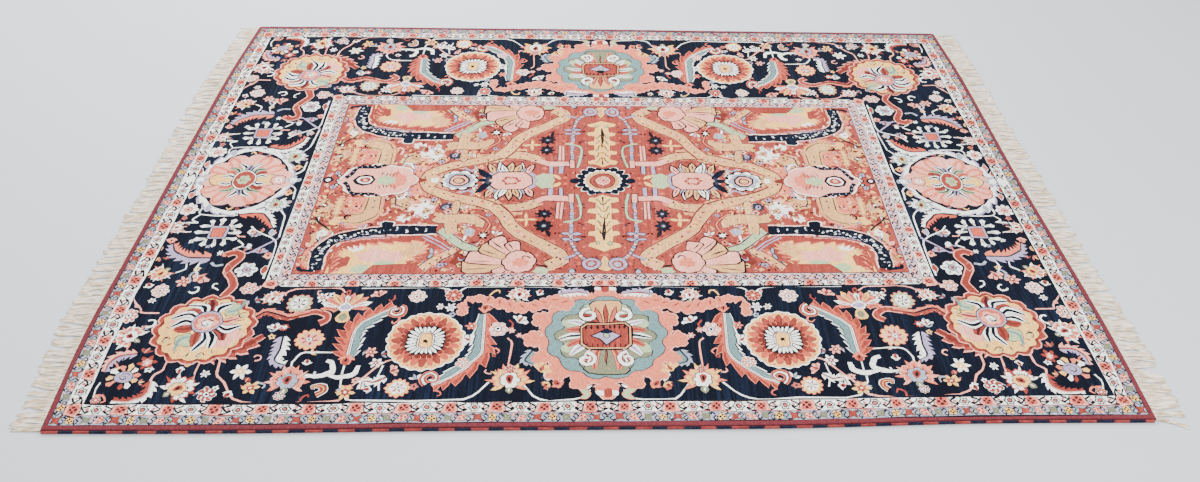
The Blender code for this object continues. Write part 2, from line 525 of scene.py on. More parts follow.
def palmette(at, petals="peach", heart="ivory", eye="coral", tip="ivory"):
    """A flower seen from the side: frilled petals round a heart, over a small cup."""
    for turn, far, wool in (
        (-122, 52, tip), (122, 52, petals), (-88, 60, petals), (88, 60, tip), (-54, 60, tip),
        (54, 60, petals), (-18, 62, petals), (18, 62, tip)
    ):
        layers(on(at, 0, -4, turn=turn), "plum", petal(10, far + 3, 17), wool, petal(10, far, 12))
    for turn, far in ((-104, 40), (104, 40), (-72, 47), (72, 47), (-38, 50), (38, 50), (0, 56)):
        place = on(at, 0, -4, turn=turn)
        layers(
            place, tip, petal(10, far, 23.5, FLARED), petals, petal(10, far - 4, 18, FLARED),
            "madder", petal(24, far - 14, 3.5)
        )
    layers(
        at, "slate", lobed(27.5, 7, 0.2, 0.8, steps=4), heart, lobed(25, 7, 0.2, 0.8, steps=4),
        eye, petal(-10, 17, 22, ROUNDED), "plum", petal(-4, 12, 9)
    )
    layers(on(at, 0, -20, turn=180), "sage", petal(0, 22, 20), "ivory", petal(4, 16, 6))


def lily(at, outer="ivory", inner="coral"):
    """A small open flower on a stem."""
    for turn in (-62, 62, -22, 22):
        weave(outer, petal(0, 34, 16, FLARED), on(at, turn=turn))
    layers(at, inner, petal(0, 26, 13), "slate", petal(4, 14, 4))


def bud(at, wool="coral", cup="ivory"):
    layers(at, cup, petal(-6, 26, 27, ROUNDED), wool, petal(0, 30, 18), "plum", petal(6, 18, 6))
    for turn in (-62, 62):
        weave(cup, petal(0, 24, 10), on(at, turn=turn))


def leaf(at, wool="coral", far=45, wide=20, vein="ivory"):
    """A plain leaf with a lighter edge."""
    layers(at, vein, petal(-2, far + 3, wide + 4), wool, petal(0, far, wide))


def hook(at, wool="ivory"):
    weave(wool, spiral(0.75, 18, 7, start=200, inner=0.55, steps=12), at)


def swirl_flower(at):
    """A broad ivory flower with a rolled heart."""
    for k, turn in enumerate((-150, -115, -80, -45, -12, 22, 58, 94, 130)):
        weave(("ivory", "straw", "peach")[k % 3], petal(15, 55 - 4 * (k % 2), 21, FLARED), on(at, turn=turn))
    layers(at, "slate", disc(30, 0.9, 12), "lilac", disc(27.5, 0.9, 12))
    for radius, turn in ((21, 20), (13, 190)):
        weave("slate", spiral(0.85, radius, 2.6, start=turn, steps=9), at)
    weave("coral", petal(0, 26, 16), on(at, 0, -30, turn=190))


def figleaf(at, wool="coral"):
    """A curled drop with a dark line inside."""
    path = ((0, -18), (15, -4), (8, 16), (-12, 16), (-14, 2))
    for shade, wide in (("ivory", 21), (wool, 16), ("plum", 5), ("straw", 3)):
        weave(shade, ribbon(path, wide, start=1.1, end=0.35), at)


def vine(points, wool, wide):
    """A band of one wool along a smooth line."""
    weave(wool, ribbon(points, wide, steps=4))


def vines(points, *woven):
    """Bands over one another along one line: a wool, its width, the next wool and so on."""
    for wool, wide in zip(woven[::2], woven[1::2]):
        vine(points, wool, wide)


def comb_leaf(points, wool="ivory", other=None, core="pink", wide=9, teeth=8, bite=14, hand=1):
    """A leaf with teeth on both sides of its rib, like a comb."""
    layers(
        HERE, other or wool, toothed(points, wide * 1.35, teeth, bite * 1.15, side=-hand),
        wool, toothed(points, wide * 1.35, teeth, bite * 1.15, side=hand),
        "slate", ribbon(points, 6.5, end=0.5, steps=4), core, ribbon(points, 4.2, end=0.5, steps=4)
    )


def split_leaf(points, curl, wides=(28, 28), bites=(31, 10)):
    """A long bent leaf in two wools, with flame teeth outside and fine ones inside."""
    layers(
        HERE, "peach", swell(toothed(points, wides[0], 9, bites[0], side=1, end=0.35), 3),
        "coral", toothed(points, wides[0], 9, bites[0], side=1, end=0.35),
        "apricot", toothed(points, wides[0] * 0.55, 9, bites[0] * 0.6, side=1, end=0.35),
        "ivory", toothed(points, wides[1] + 4, 9, bites[1] + 4, side=-1, end=0.3),
        "plum", toothed(points, wides[1], 9, bites[1], side=-1, end=0.3),
        "duck", toothed(points, wides[1] - 4, 9, bites[1], side=-1, end=0.3),
        "plum", ribbon(points, 12.5, steps=4), "ivory", ribbon(points, 8, steps=4),
        "coral", ribbon(points, 2.5, steps=4)
    )
    x, y, turn, twist = curl
    for wool, wide in (("peach", 23), ("coral", 18), ("plum", 9), ("ivory", 6)):
        weave(wool, spiral(1.05, 28, wide, start=turn, inner=0.3, hand=twist), spot(x, y))


def fleck(reach, slim=0.5):
    return [(-reach, 0), (0, -reach * slim), (reach, 0), (0, reach * slim)]


def flecks(count, low, high, wools, seed, sizes=(5, 12)):
    """Small uneven patches strewn over a ground."""
    strewn = random.Random(seed)
    for k in range(count):
        at = spot(strewn.uniform(low[0], high[0]), strewn.uniform(low[1], high[1]), strewn.uniform(0, 180))
        weave(wools[k % len(wools)], fleck(strewn.uniform(*sizes), strewn.uniform(0.4, 0.9)), at)


def scatter(count, low, high, wools, edge, seed, sizes=(0.7, 1.3)):
    """Small flowers, leaves and hooks strewn over a ground, before the larger motifs cover some."""
    strewn = random.Random(seed)
    for k in range(count):
        at = spot(
            strewn.uniform(low[0], high[0]), strewn.uniform(low[1], high[1]), strewn.uniform(0, 360),
            strewn.uniform(*sizes)
        )
        wool, other = wools[k % len(wools)], wools[(k + 2) % len(wools)]
        if k % 3 == 0:
            layers(
                at, edge, lobed(15, 5, 0.35, 0.8, steps=2), wool, lobed(12, 5, 0.35, 0.8, steps=2),
                edge, disc(4, steps=5)
            )
        elif k % 3 == 1:
            for turn in (-48, 48, 0):
                layers(on(at, turn=turn), edge, petal(-2, 24, 12), other if turn else wool, petal(0, 21, 8))
        else:
            weave(wool, ribbon(((-22, 0), (0, 8), (14, -4), (6, -14)), 6.5, end=0.5, steps=2), at)
            weave(edge, petal(-6, 6, 6), on(at, -4, 14))


# %% Great flowers of the border
def big_rosette(at):
    """The round many-petalled flower between the leaves."""
    layers(at, "ivory", lobed(131, 24, 0.07, 0.6, steps=5), "straw", lobed(126, 24, 0.08, 0.6, steps=5))
    for k in range(24):
        wool = ("coral", "apricot")[k % 2]
        weave(wool, petal(50, 114, 25, ROUNDED), on(at, turn=15 * k))
        weave("peach", petal(92, 120, 11, DROP), on(at, turn=15 * k + 7.5))
    weave("rust", lobed(82, 24, 0.2, 0.8, steps=5), at)
    for k in range(24):
        layers(on(at, turn=15 * k + 7.5), "plum", petal(62, 92, 8), "peach", petal(66, 88, 4))
    weave("plum", block(124, 124, 26), at)
    for k in range(24):
        turn = 15 * k + 7.5
        reach = 60 / max(abs(math.cos(math.radians(turn))), abs(math.sin(math.radians(turn))))
        weave("ivory", petal(28, min(reach, 70), 11, ROUNDED), on(at, turn=turn))
    layers(
        at, "plum", block(60, 80, 16), "ivory", block(55, 75, 15), "coral", block(50, 70, 13),
        "straw", block(43, 63, 10), "plum", lobed(10, 5, 0.3, 0.8, steps=4)
    )


def lotus(at):
    """A wide open lily seen from the side."""
    for turn, far, wide, wool in (
        (-88, 84, 22, "peach"), (88, 84, 22, "peach"), (-70, 90, 22, "ivory"), (70, 90, 22, "ivory"),
        (-52, 92, 24, "peach"), (52, 92, 24, "peach"), (-34, 88, 24, "straw"), (34, 88, 24, "straw"),
        (-16, 80, 24, "peach"), (16, 80, 24, "peach"), (0, 70, 22, "ivory")
    ):
        place = on(at, 0, -18, turn=turn)
        layers(
            place, "plum", petal(0, far + 3, wide + 4, FLARED), wool, petal(0, far, wide, FLARED),
            "coral", petal(far * 0.4, far * 0.85, 6)
        )
    layers(
        on(at, 0, -12), "plum", lobed(30, 6, 0.2, 0.8, squash=0.8),
        "ivory", lobed(27, 6, 0.2, 0.8, squash=0.8), "lilac", disc(18, 0.8, 12)
    )
    weave("coral", petal(0, 26, 20, ROUNDED), on(at, 0, 48))
    weave("plum", petal(4, 18, 9), on(at, 0, 50))
    layers(on(at, 0, -30, turn=180), "straw", petal(0, 50, 46, ROUNDED), "sage", petal(10, 44, 28))


def plume(at, far, wool, core, wide=20, bend=10):
    path = ((0, 0), (bend * 0.3, far * 0.5), (-bend, far * 0.92))
    for shade, w in (("slate", wide + 3.5), (wool, wide), (core, wide * 0.38)):
        weave(shade, ribbon(path, w, start=0.55, end=0.5, belly=1.1, steps=4), at)


def corner_palmette(at):
    """The great yellow flower that turns the corner of the border."""
    middle = on(at, 0, -30)
    rim = [(1.03 * x, y) for x, y in lobed(160, 17, 0.1, 1.3, squash=0.98, steps=4, start=12)]
    layers(
        middle, "pink", swell(rim, 5), "coral", rim, "rust", lobed(150, 23, 0.06, 1.4, squash=0.98, steps=3),
        "straw", lobed(146, 17, 0.08, 1.2, squash=0.98, steps=4, start=12)
    )
    for k in range(18):
        turn = 20 * k + 9
        weave(("madder", "sage", "slate")[k % 3], petal(104, 128, 6), on(middle, turn=turn))
    weave("pink", lobed(75, 5, 0.3, 0.8, squash=0.8, steps=5), on(at, 60, -58))
    weave("pink", lobed(50, 5, 0.3, 0.8, steps=5), on(at, -74, 18))
    for turn, reach in ((-48, 82), (150, 84)):
        place = on(at, turn=turn)
        layers(
            on(place, 0, reach + 10), "slate", lobed(36, 5, 0.3, 0.7, squash=0.9),
            "mint", lobed(33, 5, 0.3, 0.7, squash=0.9)
        )
        weave("duck", ribbon(((0, 20), (14, 50), (-6, 88)), 9), on(place, 0, reach - 30))
    for x, y, turn in ((-105, -85, 30), (20, -150, 0), (110, 30, 70), (-20, 92, 10)):
        weave("slate", spiral(0.8, 18, 4, start=turn, steps=9), on(at, x, y))
        weave("mint", petal(-12, 12, 9), on(at, x, y, turn=turn))
    for turn, far, wool, core, bend in (
        (4, 112, "coral", "madder", 6), (28, 112, "ivory", "navy", 34), (50, 100, "coral", "rust", 12),
        (68, 118, "ivory", "navy", 30), (92, 112, "ivory", "navy", 20), (114, 100, "coral", "rust", -12),
        (168, 112, "coral", "rust", 10), (186, 128, "ivory", "navy", -26), (206, 126, "ivory", "navy", -14),
        (228, 112, "coral", "madder", -12), (250, 120, "ivory", "navy", 26), (276, 106, "pink", "coral", 8),
        (334, 104, "ivory", "navy", -20)
    ):
        plume(on(on(at, turn=turn), 0, 36), far - 34, wool, core, 28, bend)
    layers(
        at, "slate", lobed(52, 12, 0.08, 0.8, steps=3), "lilac", lobed(48, 12, 0.08, 0.8, steps=3),
        "rose", disc(41, steps=14)
    )
    weave("pink", lobed(34, 5, 0.25, 0.7, steps=4), on(at, 2, -4))
    weave("ivory", lobed(18, 5, 0.3, 0.7, steps=4, start=20), on(at, 2, -6))
    for radius, turn in ((24, 30), (14, 200)):
        weave("plum", spiral(0.7, radius, 4, start=turn, steps=9), on(at, 0, -6))


def centre_palmette(at):
    """Half of the great flower in the middle of a long border: the mirror makes the rest."""
    knobs = (
        (-212, 75, 36), (-240, -15, 34), (-214, -100, 36), (-165, 145, 34), (-158, -160, 38), (-85, 185, 30),
        (-85, -196, 36), (0, 205, 36), (0, -225, 42)
    )
    for wool, by in (("pink", 5), ("peach", 0)):
        weave(wool, lobed(224 + by, 15, 0.07, 0.6, squash=0.92, steps=4), at)
        for x, y, r in knobs:
            weave(wool, lobed(r + by, 5, 0.26, 0.9, steps=4, start=30 * r), on(at, x, y))
    for x, y, turn in (
        (-226, 30, 84), (-232, -58, 100), (-200, 115, 56), (-196, -132, 125), (-130, 175, 30),
        (-124, -190, 150), (-42, 205, 8), (-42, -226, 172)
    ):
        weave("navy", petal(-6, 50, 18), on(at, x, y, turn=turn))
    rim = lobed(204, 13, 0.12, 0.7, squash=0.92, steps=5, start=8)
    layers(
        at, "slate", swell(rim, 3), "duck", rim,
        "slate", lobed(174, 11, 0.24, 0.9, squash=0.92, steps=5, start=16),
        "sage", lobed(170, 11, 0.24, 0.9, squash=0.92, steps=5, start=16)
    )
    for turn in (24, 66, 114, 168):
        weave("mint", petal(70, 158, 46, ROUNDED), on(at, turn=turn))
    layers(at, "slate", petal(40, 168, 118, BLUNT), "tan", petal(40, 164, 110, BLUNT))
    layers(on(at, turn=180), "plum", petal(40, 170, 150, BLUNT), "sage", petal(40, 166, 142, BLUNT))
    for turn, wool, far in (
        (0, "coral", 150), (16, "rose", 142), (196, "straw", 150), (209, "ivory", 150), (183, "coral", 158)
    ):
        layers(on(at, turn=turn), "plum", petal(50, far, 22), wool, petal(55, far - 5, 15))
    for turn, far, wool, core in (
        (58, 152, "ivory", "lilac"), (90, 160, "ivory", "slate"), (122, 152, "ivory", "lilac"),
        (36, 140, "coral", "rust"), (146, 158, "ivory", "coral"), (160, 162, "peach", "coral"),
        (74, 140, "rose", "coral"), (106, 140, "rose", "coral")
    ):
        plume(on(on(at, turn=turn), 0, 45), far - 45, wool, core, 24, 12)
    for x, y, hand in ((-56, 96, 1), (-66, -104, -1)):
        layers(
            on(at, x, y), "plum", spiral(1.1, 32, 19, start=90, inner=0.3, hand=hand, steps=10),
            "ivory", spiral(1.1, 32, 13, start=90, inner=0.3, hand=hand, steps=10)
        )
    for wide, high, cut, wool in (
        (178, 126, 22, "plum"), (168, 116, 20, "tan"), (158, 106, 18, "plum"), (150, 98, 16, "coral")
    ):
        weave(wool, block(wide, high, cut), at)
    for x in (-64, -46, -28, -10):
        weave("plum", petal(0, 20, 9), on(at, x, 30))
        weave("madder", petal(0, 16, 7), on(at, x, -49))
    layers(
        at, "plum", [(-54, 0), (-22, -20), (0, -46), (22, -20), (54, 0), (22, 18), (0, 36), (-22, 18)],
        "lilac", [(-46, 0), (-19, -16), (0, -38), (19, -16), (46, 0), (19, 14), (-19, 14)],
        "navy", [(-19, 10), (19, 10), (12, 26), (0, 34), (-12, 26)], "slate", disc(12, steps=8),
        "mint", disc(9, steps=8)
    )
    for y in (225, -245):
        layers(on(at, 0, y), "ivory", block(70, 20, 6), "coral", block(26, 34, 6))


def side_medallion(at):
    """Half of the great flower in the middle of a short border."""
    path = (
        (-158, 50), (-152, -20), (-135, -75), (-105, -128), (-60, -172), (0, -190), (60, -174), (112, -135),
        (150, -85), (168, -30), (172, 50)
    )
    for wool, wide, bite in (("lilac", 20, 20), ("ivory", 14, 16)):
        weave(wool, toothed(path, wide, 13, bite, side=-1, end=0.8, steps=4), at)
    layers(
        at, "slate", lobed(165, 11, 0.12, 0.6, squash=1.05, steps=6, start=16),
        "pink", lobed(161, 11, 0.12, 0.6, squash=1.05, steps=6, start=16)
    )
    for turn in (118, 150, 205, 235):
        layers(on(at, turn=turn), "peach", petal(70, 165, 52, ROUNDED), "pink", petal(85, 150, 24, ROUNDED))
    for side in (-1, 1):
        layers(
            on(at, turn=90 * side), "slate", petal(40, 132, 72, ROUNDED), "straw", petal(40, 128, 66, ROUNDED)
        )
    weave("pink", petal(0, 85, 110, ROUNDED), on(at, 105, 0, turn=-90))
    layers(
        on(at, 135, 0), "slate", lobed(32, 9, 0.15, 0.7, steps=4), "pink", lobed(28, 9, 0.15, 0.7, steps=4),
        "ivory", disc(14, steps=8), "coral", disc(5, steps=6)
    )
    for turn, far, wool, core, bend in (
        (196, 118, "ivory", "navy", 16), (168, 118, "ivory", "navy", -16), (214, 105, "mint", "slate", 20),
        (146, 105, "mint", "slate", -20), (232, 100, "coral", "rust", 10), (128, 100, "peach", "coral", -10),
        (182, 98, "lilac", "slate", 4), (250, 92, "ivory", "navy", 12), (110, 92, "ivory", "navy", -12)
    ):
        plume(on(on(at, turn=turn), 0, 40), far - 40, wool, core, 20, bend)
    layers(
        at, "slate", disc(48, 1.36, 16), "ivory", disc(45, 1.36, 16), "coral", disc(41, 1.36, 16),
        "mint", lobed(26, 6, 0.3, 0.8, squash=1.2), "rust", spiral(0.9, 16, 4, start=40, steps=9)
    )


def square_star(at):
    """The square flower of the short border, three petals to a side."""
    for turn in (0, 90, 180, 270):
        for shift in (-27, 0, 27):
            far = 84 - abs(shift) * 0.25
            place = on(on(at, turn=turn), shift, 0, turn=-shift * 0.33)
            layers(
                place, "slate", petal(30, far + 3, 27, FLARED), "ivory", petal(30, far, 22, FLARED),
                "sage", petal(40, far - 18, 5)
            )
        for shift in (-21, -7, 7, 21):
            weave("plum", petal(36, 52, 5), on(on(at, turn=turn), shift, 0))
    layers(
        at, "plum", block(74, 74, 4), "lilac", block(68, 68, 4), "slate", block(52, 52, 3),
        "apricot", block(47, 47, 3)
    )


# %% Fill the border
def tuck_in(first, outer, inner=None):
    """Keeps what was drawn since then inside its band, so that no flower runs over a guard."""
    for k in range(first, len(drawing)):
        wool, shape = drawing[k]
        tucked = []
        for u, v in shape:
            u, v = max(u, outer[0]), max(v, outer[1])
            if inner and u > inner[0] and v > inner[1]:
                if u - inner[0] < v - inner[1]:
                    u = inner[0]
                else:
                    v = inner[1]
            tucked.append((u, v))
        drawing[k] = (wool, tucked)


def place_all(rows):
    for motif, u, v, turn, size, *wools in rows:
        motif(spot(u, v, turn, size), *wools)


before_border = len(drawing)
for count, low, high, seed in ((95, (-1580, -1100), (0, -615), 4), (38, (-1580, -615), (-1190, 0), 8)):
    scatter(
        count, low, high, ("ivory", "peach", "pink", "coral", "straw", "sky", "rose"), "slate", seed,
        (0.8, 1.25)
    )
VINES = (
    ("pink", 6, ((-1602, -562), (-1599, -639), (-1551, -705), (-1540, -725), (-1484, -725))),
    ("ivory", 5, ((-1566, -1026), (-1575, -1060), (-1566, -1104))),
    ("pink", 6, ((-1290, -950), (-1292, -985), (-1288, -1026))),
    ("pink", 7, ((-1229, -930), (-1220, -996), (-1190, -1030), (-1112, -1108), (-850, -1107), (-807, -1075))),
    ("pink", 7, ((-1392, -935), (-1395, -975), (-1418, -1006), (-1408, -1062), (-1440, -1100))),
    ("pink", 6, ((-1128, -660), (-1060, -612), (-930, -608), (-890, -630))),
    (
        "ivory", 6,
        (
            (-837, -608), (-700, -606), (-555, -608), (-517, -647), (-478, -608), (-330, -603), (-170, -605),
            (-90, -655)
        )
    ),
    ("ivory", 6, ((-807, -1075), (-780, -1105), (-600, -1106), (-443, -1104), (-370, -1040), (-340, -1000))),
    ("ivory", 6, ((-270, -1030), (-210, -1105), (-80, -1102), (-50, -1070))),
    ("ivory", 6, ((-829, -946), (-829, -1046))),
    ("ivory", 6, ((-845, -905), (-963, -905), (-998, -937), (-998, -968))),
    ("pink", 6, ((-686, -942), (-712, -955), (-790, -1046))),
    ("ivory", 5, ((-707, -963), (-715, -1010), (-703, -1067))),
    ("pink", 6, ((-322, -846), (-309, -872), (-311, -975))),
    ("ivory", 5, ((-400, -960), (-430, -930), (-470, -940))),
    ("ivory", 6, ((-1555, -60), (-1510, -140), (-1506, -212), (-1370, -215))),
    ("ivory", 6, ((-1506, -212), (-1524, -245), (-1500, -258), (-1545, -258))),
    ("ivory", 6, ((-1300, -150), (-1240, -172), (-1195, -220), (-1186, -340))),
    ("ivory", 6, ((-1300, -280), (-1270, -312), (-1205, -350), (-1188, -385), (-1187, -560))),
    ("lilac", 7, ((-1300, -430), (-1265, -422), (-1186, -345))),
    ("ivory", 6, ((-1330, -360), (-1306, -385), (-1335, -405))),
    ("ivory", 7, ((-1250, -44), (-1212, -40), (-1190, -65), (-1188, -120))),
    ("ivory", 6, ((-1425, -470), (-1430, -510), (-1412, -555))),
    ("ivory", 6, ((-1470, -480), (-1470, -510), (-1495, -530))),
    ("peach", 15, ((-1355, -445), (-1332, -420), (-1305, -430), (-1300, -462), (-1322, -492))),
    ("sky", 10, ((-1392, -478), (-1372, -496), (-1342, -490))),
    ("ivory", 5, ((-1560, -310), (-1505, -312))),
)
for wool, wide, points in VINES:
    vine(points, wool, wide)
for branch in (
    ((-950, -1002), (-905, -1004), (-866, -986), (-872, -952), (-893, -942)),
    ((-885, -998), (-838, -1010), (-795, -998), (-789, -962))
):
    layers(
        HERE, "plum", ribbon(branch, 21, start=0.5, end=0.8, belly=1.1),
        "ivory", ribbon(branch, 17, start=0.5, end=0.8, belly=1.1)
    )
vines(
    ((-1300, -650), (-1280, -600), (-1295, -560), (-1322, -510), (-1296, -450), (-1321, -422), (-1347, -437)),
    "pink", 31, "coral", 22
)
vines(
    ((-1170, -750), (-1130, -722), (-1060, -745), (-985, -722), (-940, -732), (-925, -757), (-950, -776)),
    "pink", 27, "coral", 18
)
comb_leaf(((-1170, -750), (-1130, -722), (-1060, -745), (-985, -722)), "peach", "coral", "plum", 8, 7, 10)
blade = ((-1275, -915), (-1220, -900), (-1165, -872), (-1120, -825))
for wool, wide, bite in (("pink", 26, 26), ("coral", 20, 22), ("rust", 8, 12)):
    layers(
        HERE, wool, toothed(blade, wide, 6, bite, side=-1, end=0.2),
        wool, toothed(blade, wide * 0.8, 6, bite * 0.3, side=1, end=0.1)
    )
corner_palmette(spot(-1318.5, -768.7))
big_rosette(spot(-588, -857))
lotus(spot(-877, -690))
daisy(spot(-965, -848), petals=12, radius=47)
split_leaf(((-829, -926), (-828, -860), (-822, -800), (-770, -742), (-706, -700)), (-703, -722, 70, -1))
bud(spot(-829, -925, 180, 1.3), "coral", "peach")
split_leaf(
    ((-404, -735), (-402, -850), (-410, -930), (-490, -1015), (-548, -1045)), (-552, -1020, 240, -1),
    (20, 30), (30, 6)
)
bud(spot(-404, -722, 0, 1.2), "coral", "peach")
centre_palmette(spot(0, -837.5))
ARM = (
    (-482, -722, 20), (-480, -690, 22), (-462, -664, 22), (-430, -654, 22), (-398, -668, 26),
    (-362, -680, 30), (-322, -692, 34), (-282, -700, 36), (-242, -694, 34), (-205, -680, 34),
    (-172, -668, 38), (-140, -680, 40)
)
for wool, by in (("pink", 4), ("peach", 0)):
    for u, v, r in ARM:
        weave(wool, lobed(0.82 * r + by, 6, 0.2, 0.7, steps=4, start=0.9 * u), spot(u, v - 6))
for u, v, r in ARM[4:]:
    weave("coral", petal(-14, 14, 7), spot(u, v, 0.5 * u))
weave("navy", petal(-20, 35, 20), spot(-455, -700, 30))
side_medallion(spot(-1405, 0))
square_star(spot(-1412, -315))
# rib, one side, other side, core, body, teeth, bite, and the hand where it isn't 1
LEAVES = (
    (((-1494, -910), (-1540, -914), (-1566, -945), (-1566, -985)), "lilac", "pink", "coral", 9, 7, 13),
    (
        ((-1413, -1025), (-1413, -1075), (-1454, -1100), (-1510, -1098)), "coral", "ivory", "pink", 9, 8, 13,
        -1
    ),
    (((-1055, -835), (-1050, -890), (-1052, -940), (-1020, -955)), "ivory", "lilac", "navy", 12, 8, 14),
    (((-1362, -212), (-1290, -204), (-1245, -245), (-1222, -290)), "ivory", "apricot", "navy", 13, 8, 14),
    (((-1400, -452), (-1480, -450), (-1530, -420), (-1552, -378)), "lilac", "peach", "slate", 14, 8, 18),
    (((-690, -1010), (-720, -1030), (-760, -1030), (-765, -1060)), "ivory", "ivory", "coral", 6, 5, 11),
    (((-150, -640), (-105, -632), (-60, -640)), "lilac", "ivory", "coral", 10, 5, 12),
    (((-240, -900), (-262, -945), (-235, -965)), "duck", "sky", "slate", 8, 5, 11),
)
for row in LEAVES:
    comb_leaf(*row)
place_all((
    (rosette, -1576, -741, 0, 1.0, "peach", "ivory", "madder"),
    (hook, -1500, -772, 20, 1.3),
    (palmette, -1540, -835, 60, 1.05, "peach", "ivory", "coral"),
    (star, -1452, -945, 10, 1.0, "coral", "pink"),
    (swirl_flower, -1505, -1005, 0, 1.0),
    (rosette, -1560, -1100, 0, 0.5, "coral", "pink", "ivory"),
    (palmette, -1326, -1054, -50, 1.15, "ivory", "straw", "coral", "coral"),
    (star, -1257, -992, 0, 0.6, "ivory", "lilac"),
    (rosette, -1229, -1075, 0, 0.95, "coral", "ivory", "madder", 7),
    (bud, -1163, -1065, 160, 0.9, "coral"),
    (star, -1150, -985, 0, 1.15, "ivory", "straw"),
    (hook, -1117, -925, 60, 0.9, "pink"),
    (star, -1102, -1050, 0, 1.0, "straw", "coral"),
    (bud, -1340, -970, 180, 0.7, "coral"),
    (palmette, -1540, -530, 140, 0.85, "peach", "straw", "coral"),
    (bud, -1560, -605, 20, 0.8, "coral"),
    (rosette, -1515, -620, 0, 1.0, "pink", "ivory", "coral"),
    (star, -1455, -575, 0, 0.9, "pink", "coral"),
    (lily, -1396, -545, 160, 1.1, "pink"),
    (hook, -1403, -615, 0, 1.1),
    (rosette, -1257, -515, 0, 1.35, "ivory", "sky", "coral", 6),
    (leaf, -1195, -495, 180, 1.0, "coral"),
    (leaf, -1325, -492, 190, 1.0, "coral", 40, 22, "pink"),
    (palmette, -1130, -660, 0, 0.7, "peach", "ivory", "coral"),
    (rosette, -1222, -608, 0, 1.0, "peach", "ivory", "coral", 6),
    (daisy, -1035, -682, 0, 0.95, "mint", "ivory", "madder"),
    (star, -1528, -668, 0, 0.5, "ivory", "coral"),
    (bud, -948, -955, 0, 0.8, "coral"),
    (lily, -1090, -800, 0, 0.8, "ivory"),
    (star, -1060, -795, 0, 0.6, "coral", "ivory"),
    (palmette, -996, -1025, 0, 1.25, "peach", "sky", "coral", "pink"),
    (rosette, -1005, -1082, 0, 0.6, "coral", "ivory", "navy"),
    (figleaf, -893, -1063, 0, 1.1, "coral"),
    (star, -807, -1072, 0, 1.05, "straw", "coral"),
    (star, -755, -907, 0, 0.75, "pink", "coral"),
    (star, -731, -952, 0, 0.8, "ivory", "coral"),
    (bud, -735, -1060, 90, 0.8, "coral"),
    (lily, -682, -990, -60, 0.8, "pink"),
    (daisy, -649, -1057, 0, 0.85, "straw", "ivory", "coral"),
    (star, -521, -703, 0, 0.75, "ivory", "lilac"),
    (rosette, -517, -647, 0, 0.95, "coral", "peach", "ivory"),
    (rosette, -640, -650, 0, 1.0, "pink", "ivory", "coral"),
    (lily, -770, -650, 20, 1.0, "pink"),
    (star, -960, -655, 0, 0.8, "ivory", "coral"),
    (rosette, -355, -807, 0, 1.0, "pink", "ivory", "navy", 6),
    (star, -313, -811, 0, 0.45, "pink", "pink"),
    (star, -285, -835, 0, 0.45, "pink", "pink"),
    (lily, -290, -775, -30, 1.0, "ivory"),
    (palmette, -305, -1028, 0, 1.3, "straw", "ivory", "coral", "peach"),
    (rosette, -305, -985, 0, 0.6, "coral", "pink", "madder"),
    (lily, -210, -990, -30, 1.1, "straw"),
    (bud, -150, -1055, 30, 1.0, "coral", "peach"),
    (bud, -185, -1040, 140, 0.8, "coral", "straw"),
    (palmette, -296, -648, 0, 0.75, "peach", "ivory", "coral"),
    (bud, -226, -640, -20, 0.8, "coral"),
    (leaf, -50, -1085, 60, 1.0, "mint", 45, 20, "peach"),
    (leaf, -50, -1085, 120, 1.0, "mint", 40, 18, "peach"),
    (lily, -440, -860, 60, 0.9, "ivory"),
    (star, -445, -790, 0, 0.7, "peach", "coral"),
    (rosette, -460, -955, 0, 0.75, "peach", "ivory", "coral"),
    (star, -560, -700, 0, 0.5, "ivory", "coral"),
    (star, -1212, 0, 0, 1.2, "sky", "ivory", 4),
    (star, -1572, 0, 0, 1.2, "sky", "ivory", 5),
    (leaf, -1586, -35, 175, 1.0, "coral", 40, 18, "ivory"),
    (leaf, -1575, -80, 185, 1.0, "apricot", 40, 18, "ivory"),
    (rosette, -1557, -182, 0, 1.2, "ivory", "pink", "coral"),
    (leaf, -1490, -195, 0, 1.0, "sky", 45, 26, "ivory"),
    (bud, -1215, -90, 0, 1.0, "peach", "straw"),
    (palmette, -1243, -150, 200, 0.95, "ivory", "mint", "coral", "sky"),
    (palmette, -1565, -285, 100, 0.65, "peach", "ivory", "coral"),
    (bud, -1563, -350, 180, 0.9, "peach", "pink"),
    (bud, -1300, -315, -80, 0.9, "peach"),
    (lily, -1275, -320, 180, 0.7, "sky"),
    (star, -1372, -425, 0, 0.45, "ivory", "ivory"),
    (leaf, -1285, -375, 200, 1.0, "ivory", 30, 20, "sky"),
    (lily, -1235, -430, 0, 0.9, "lilac"),
    (bud, -1200, -450, 10, 0.95, "peach", "pink"),
    (leaf, -1222, -300, 190, 1.0, "sky", 35, 18, "ivory"),
))
tuck_in(before_border, (-1588, -1110), (-1182, -607))

# %% [markdown]
# The field. Its drawing is broader than the border's: straps and panels in tan, ivory and pink
# on the rose ground, a dotted navy arm in each corner and a small round medallion in the middle.

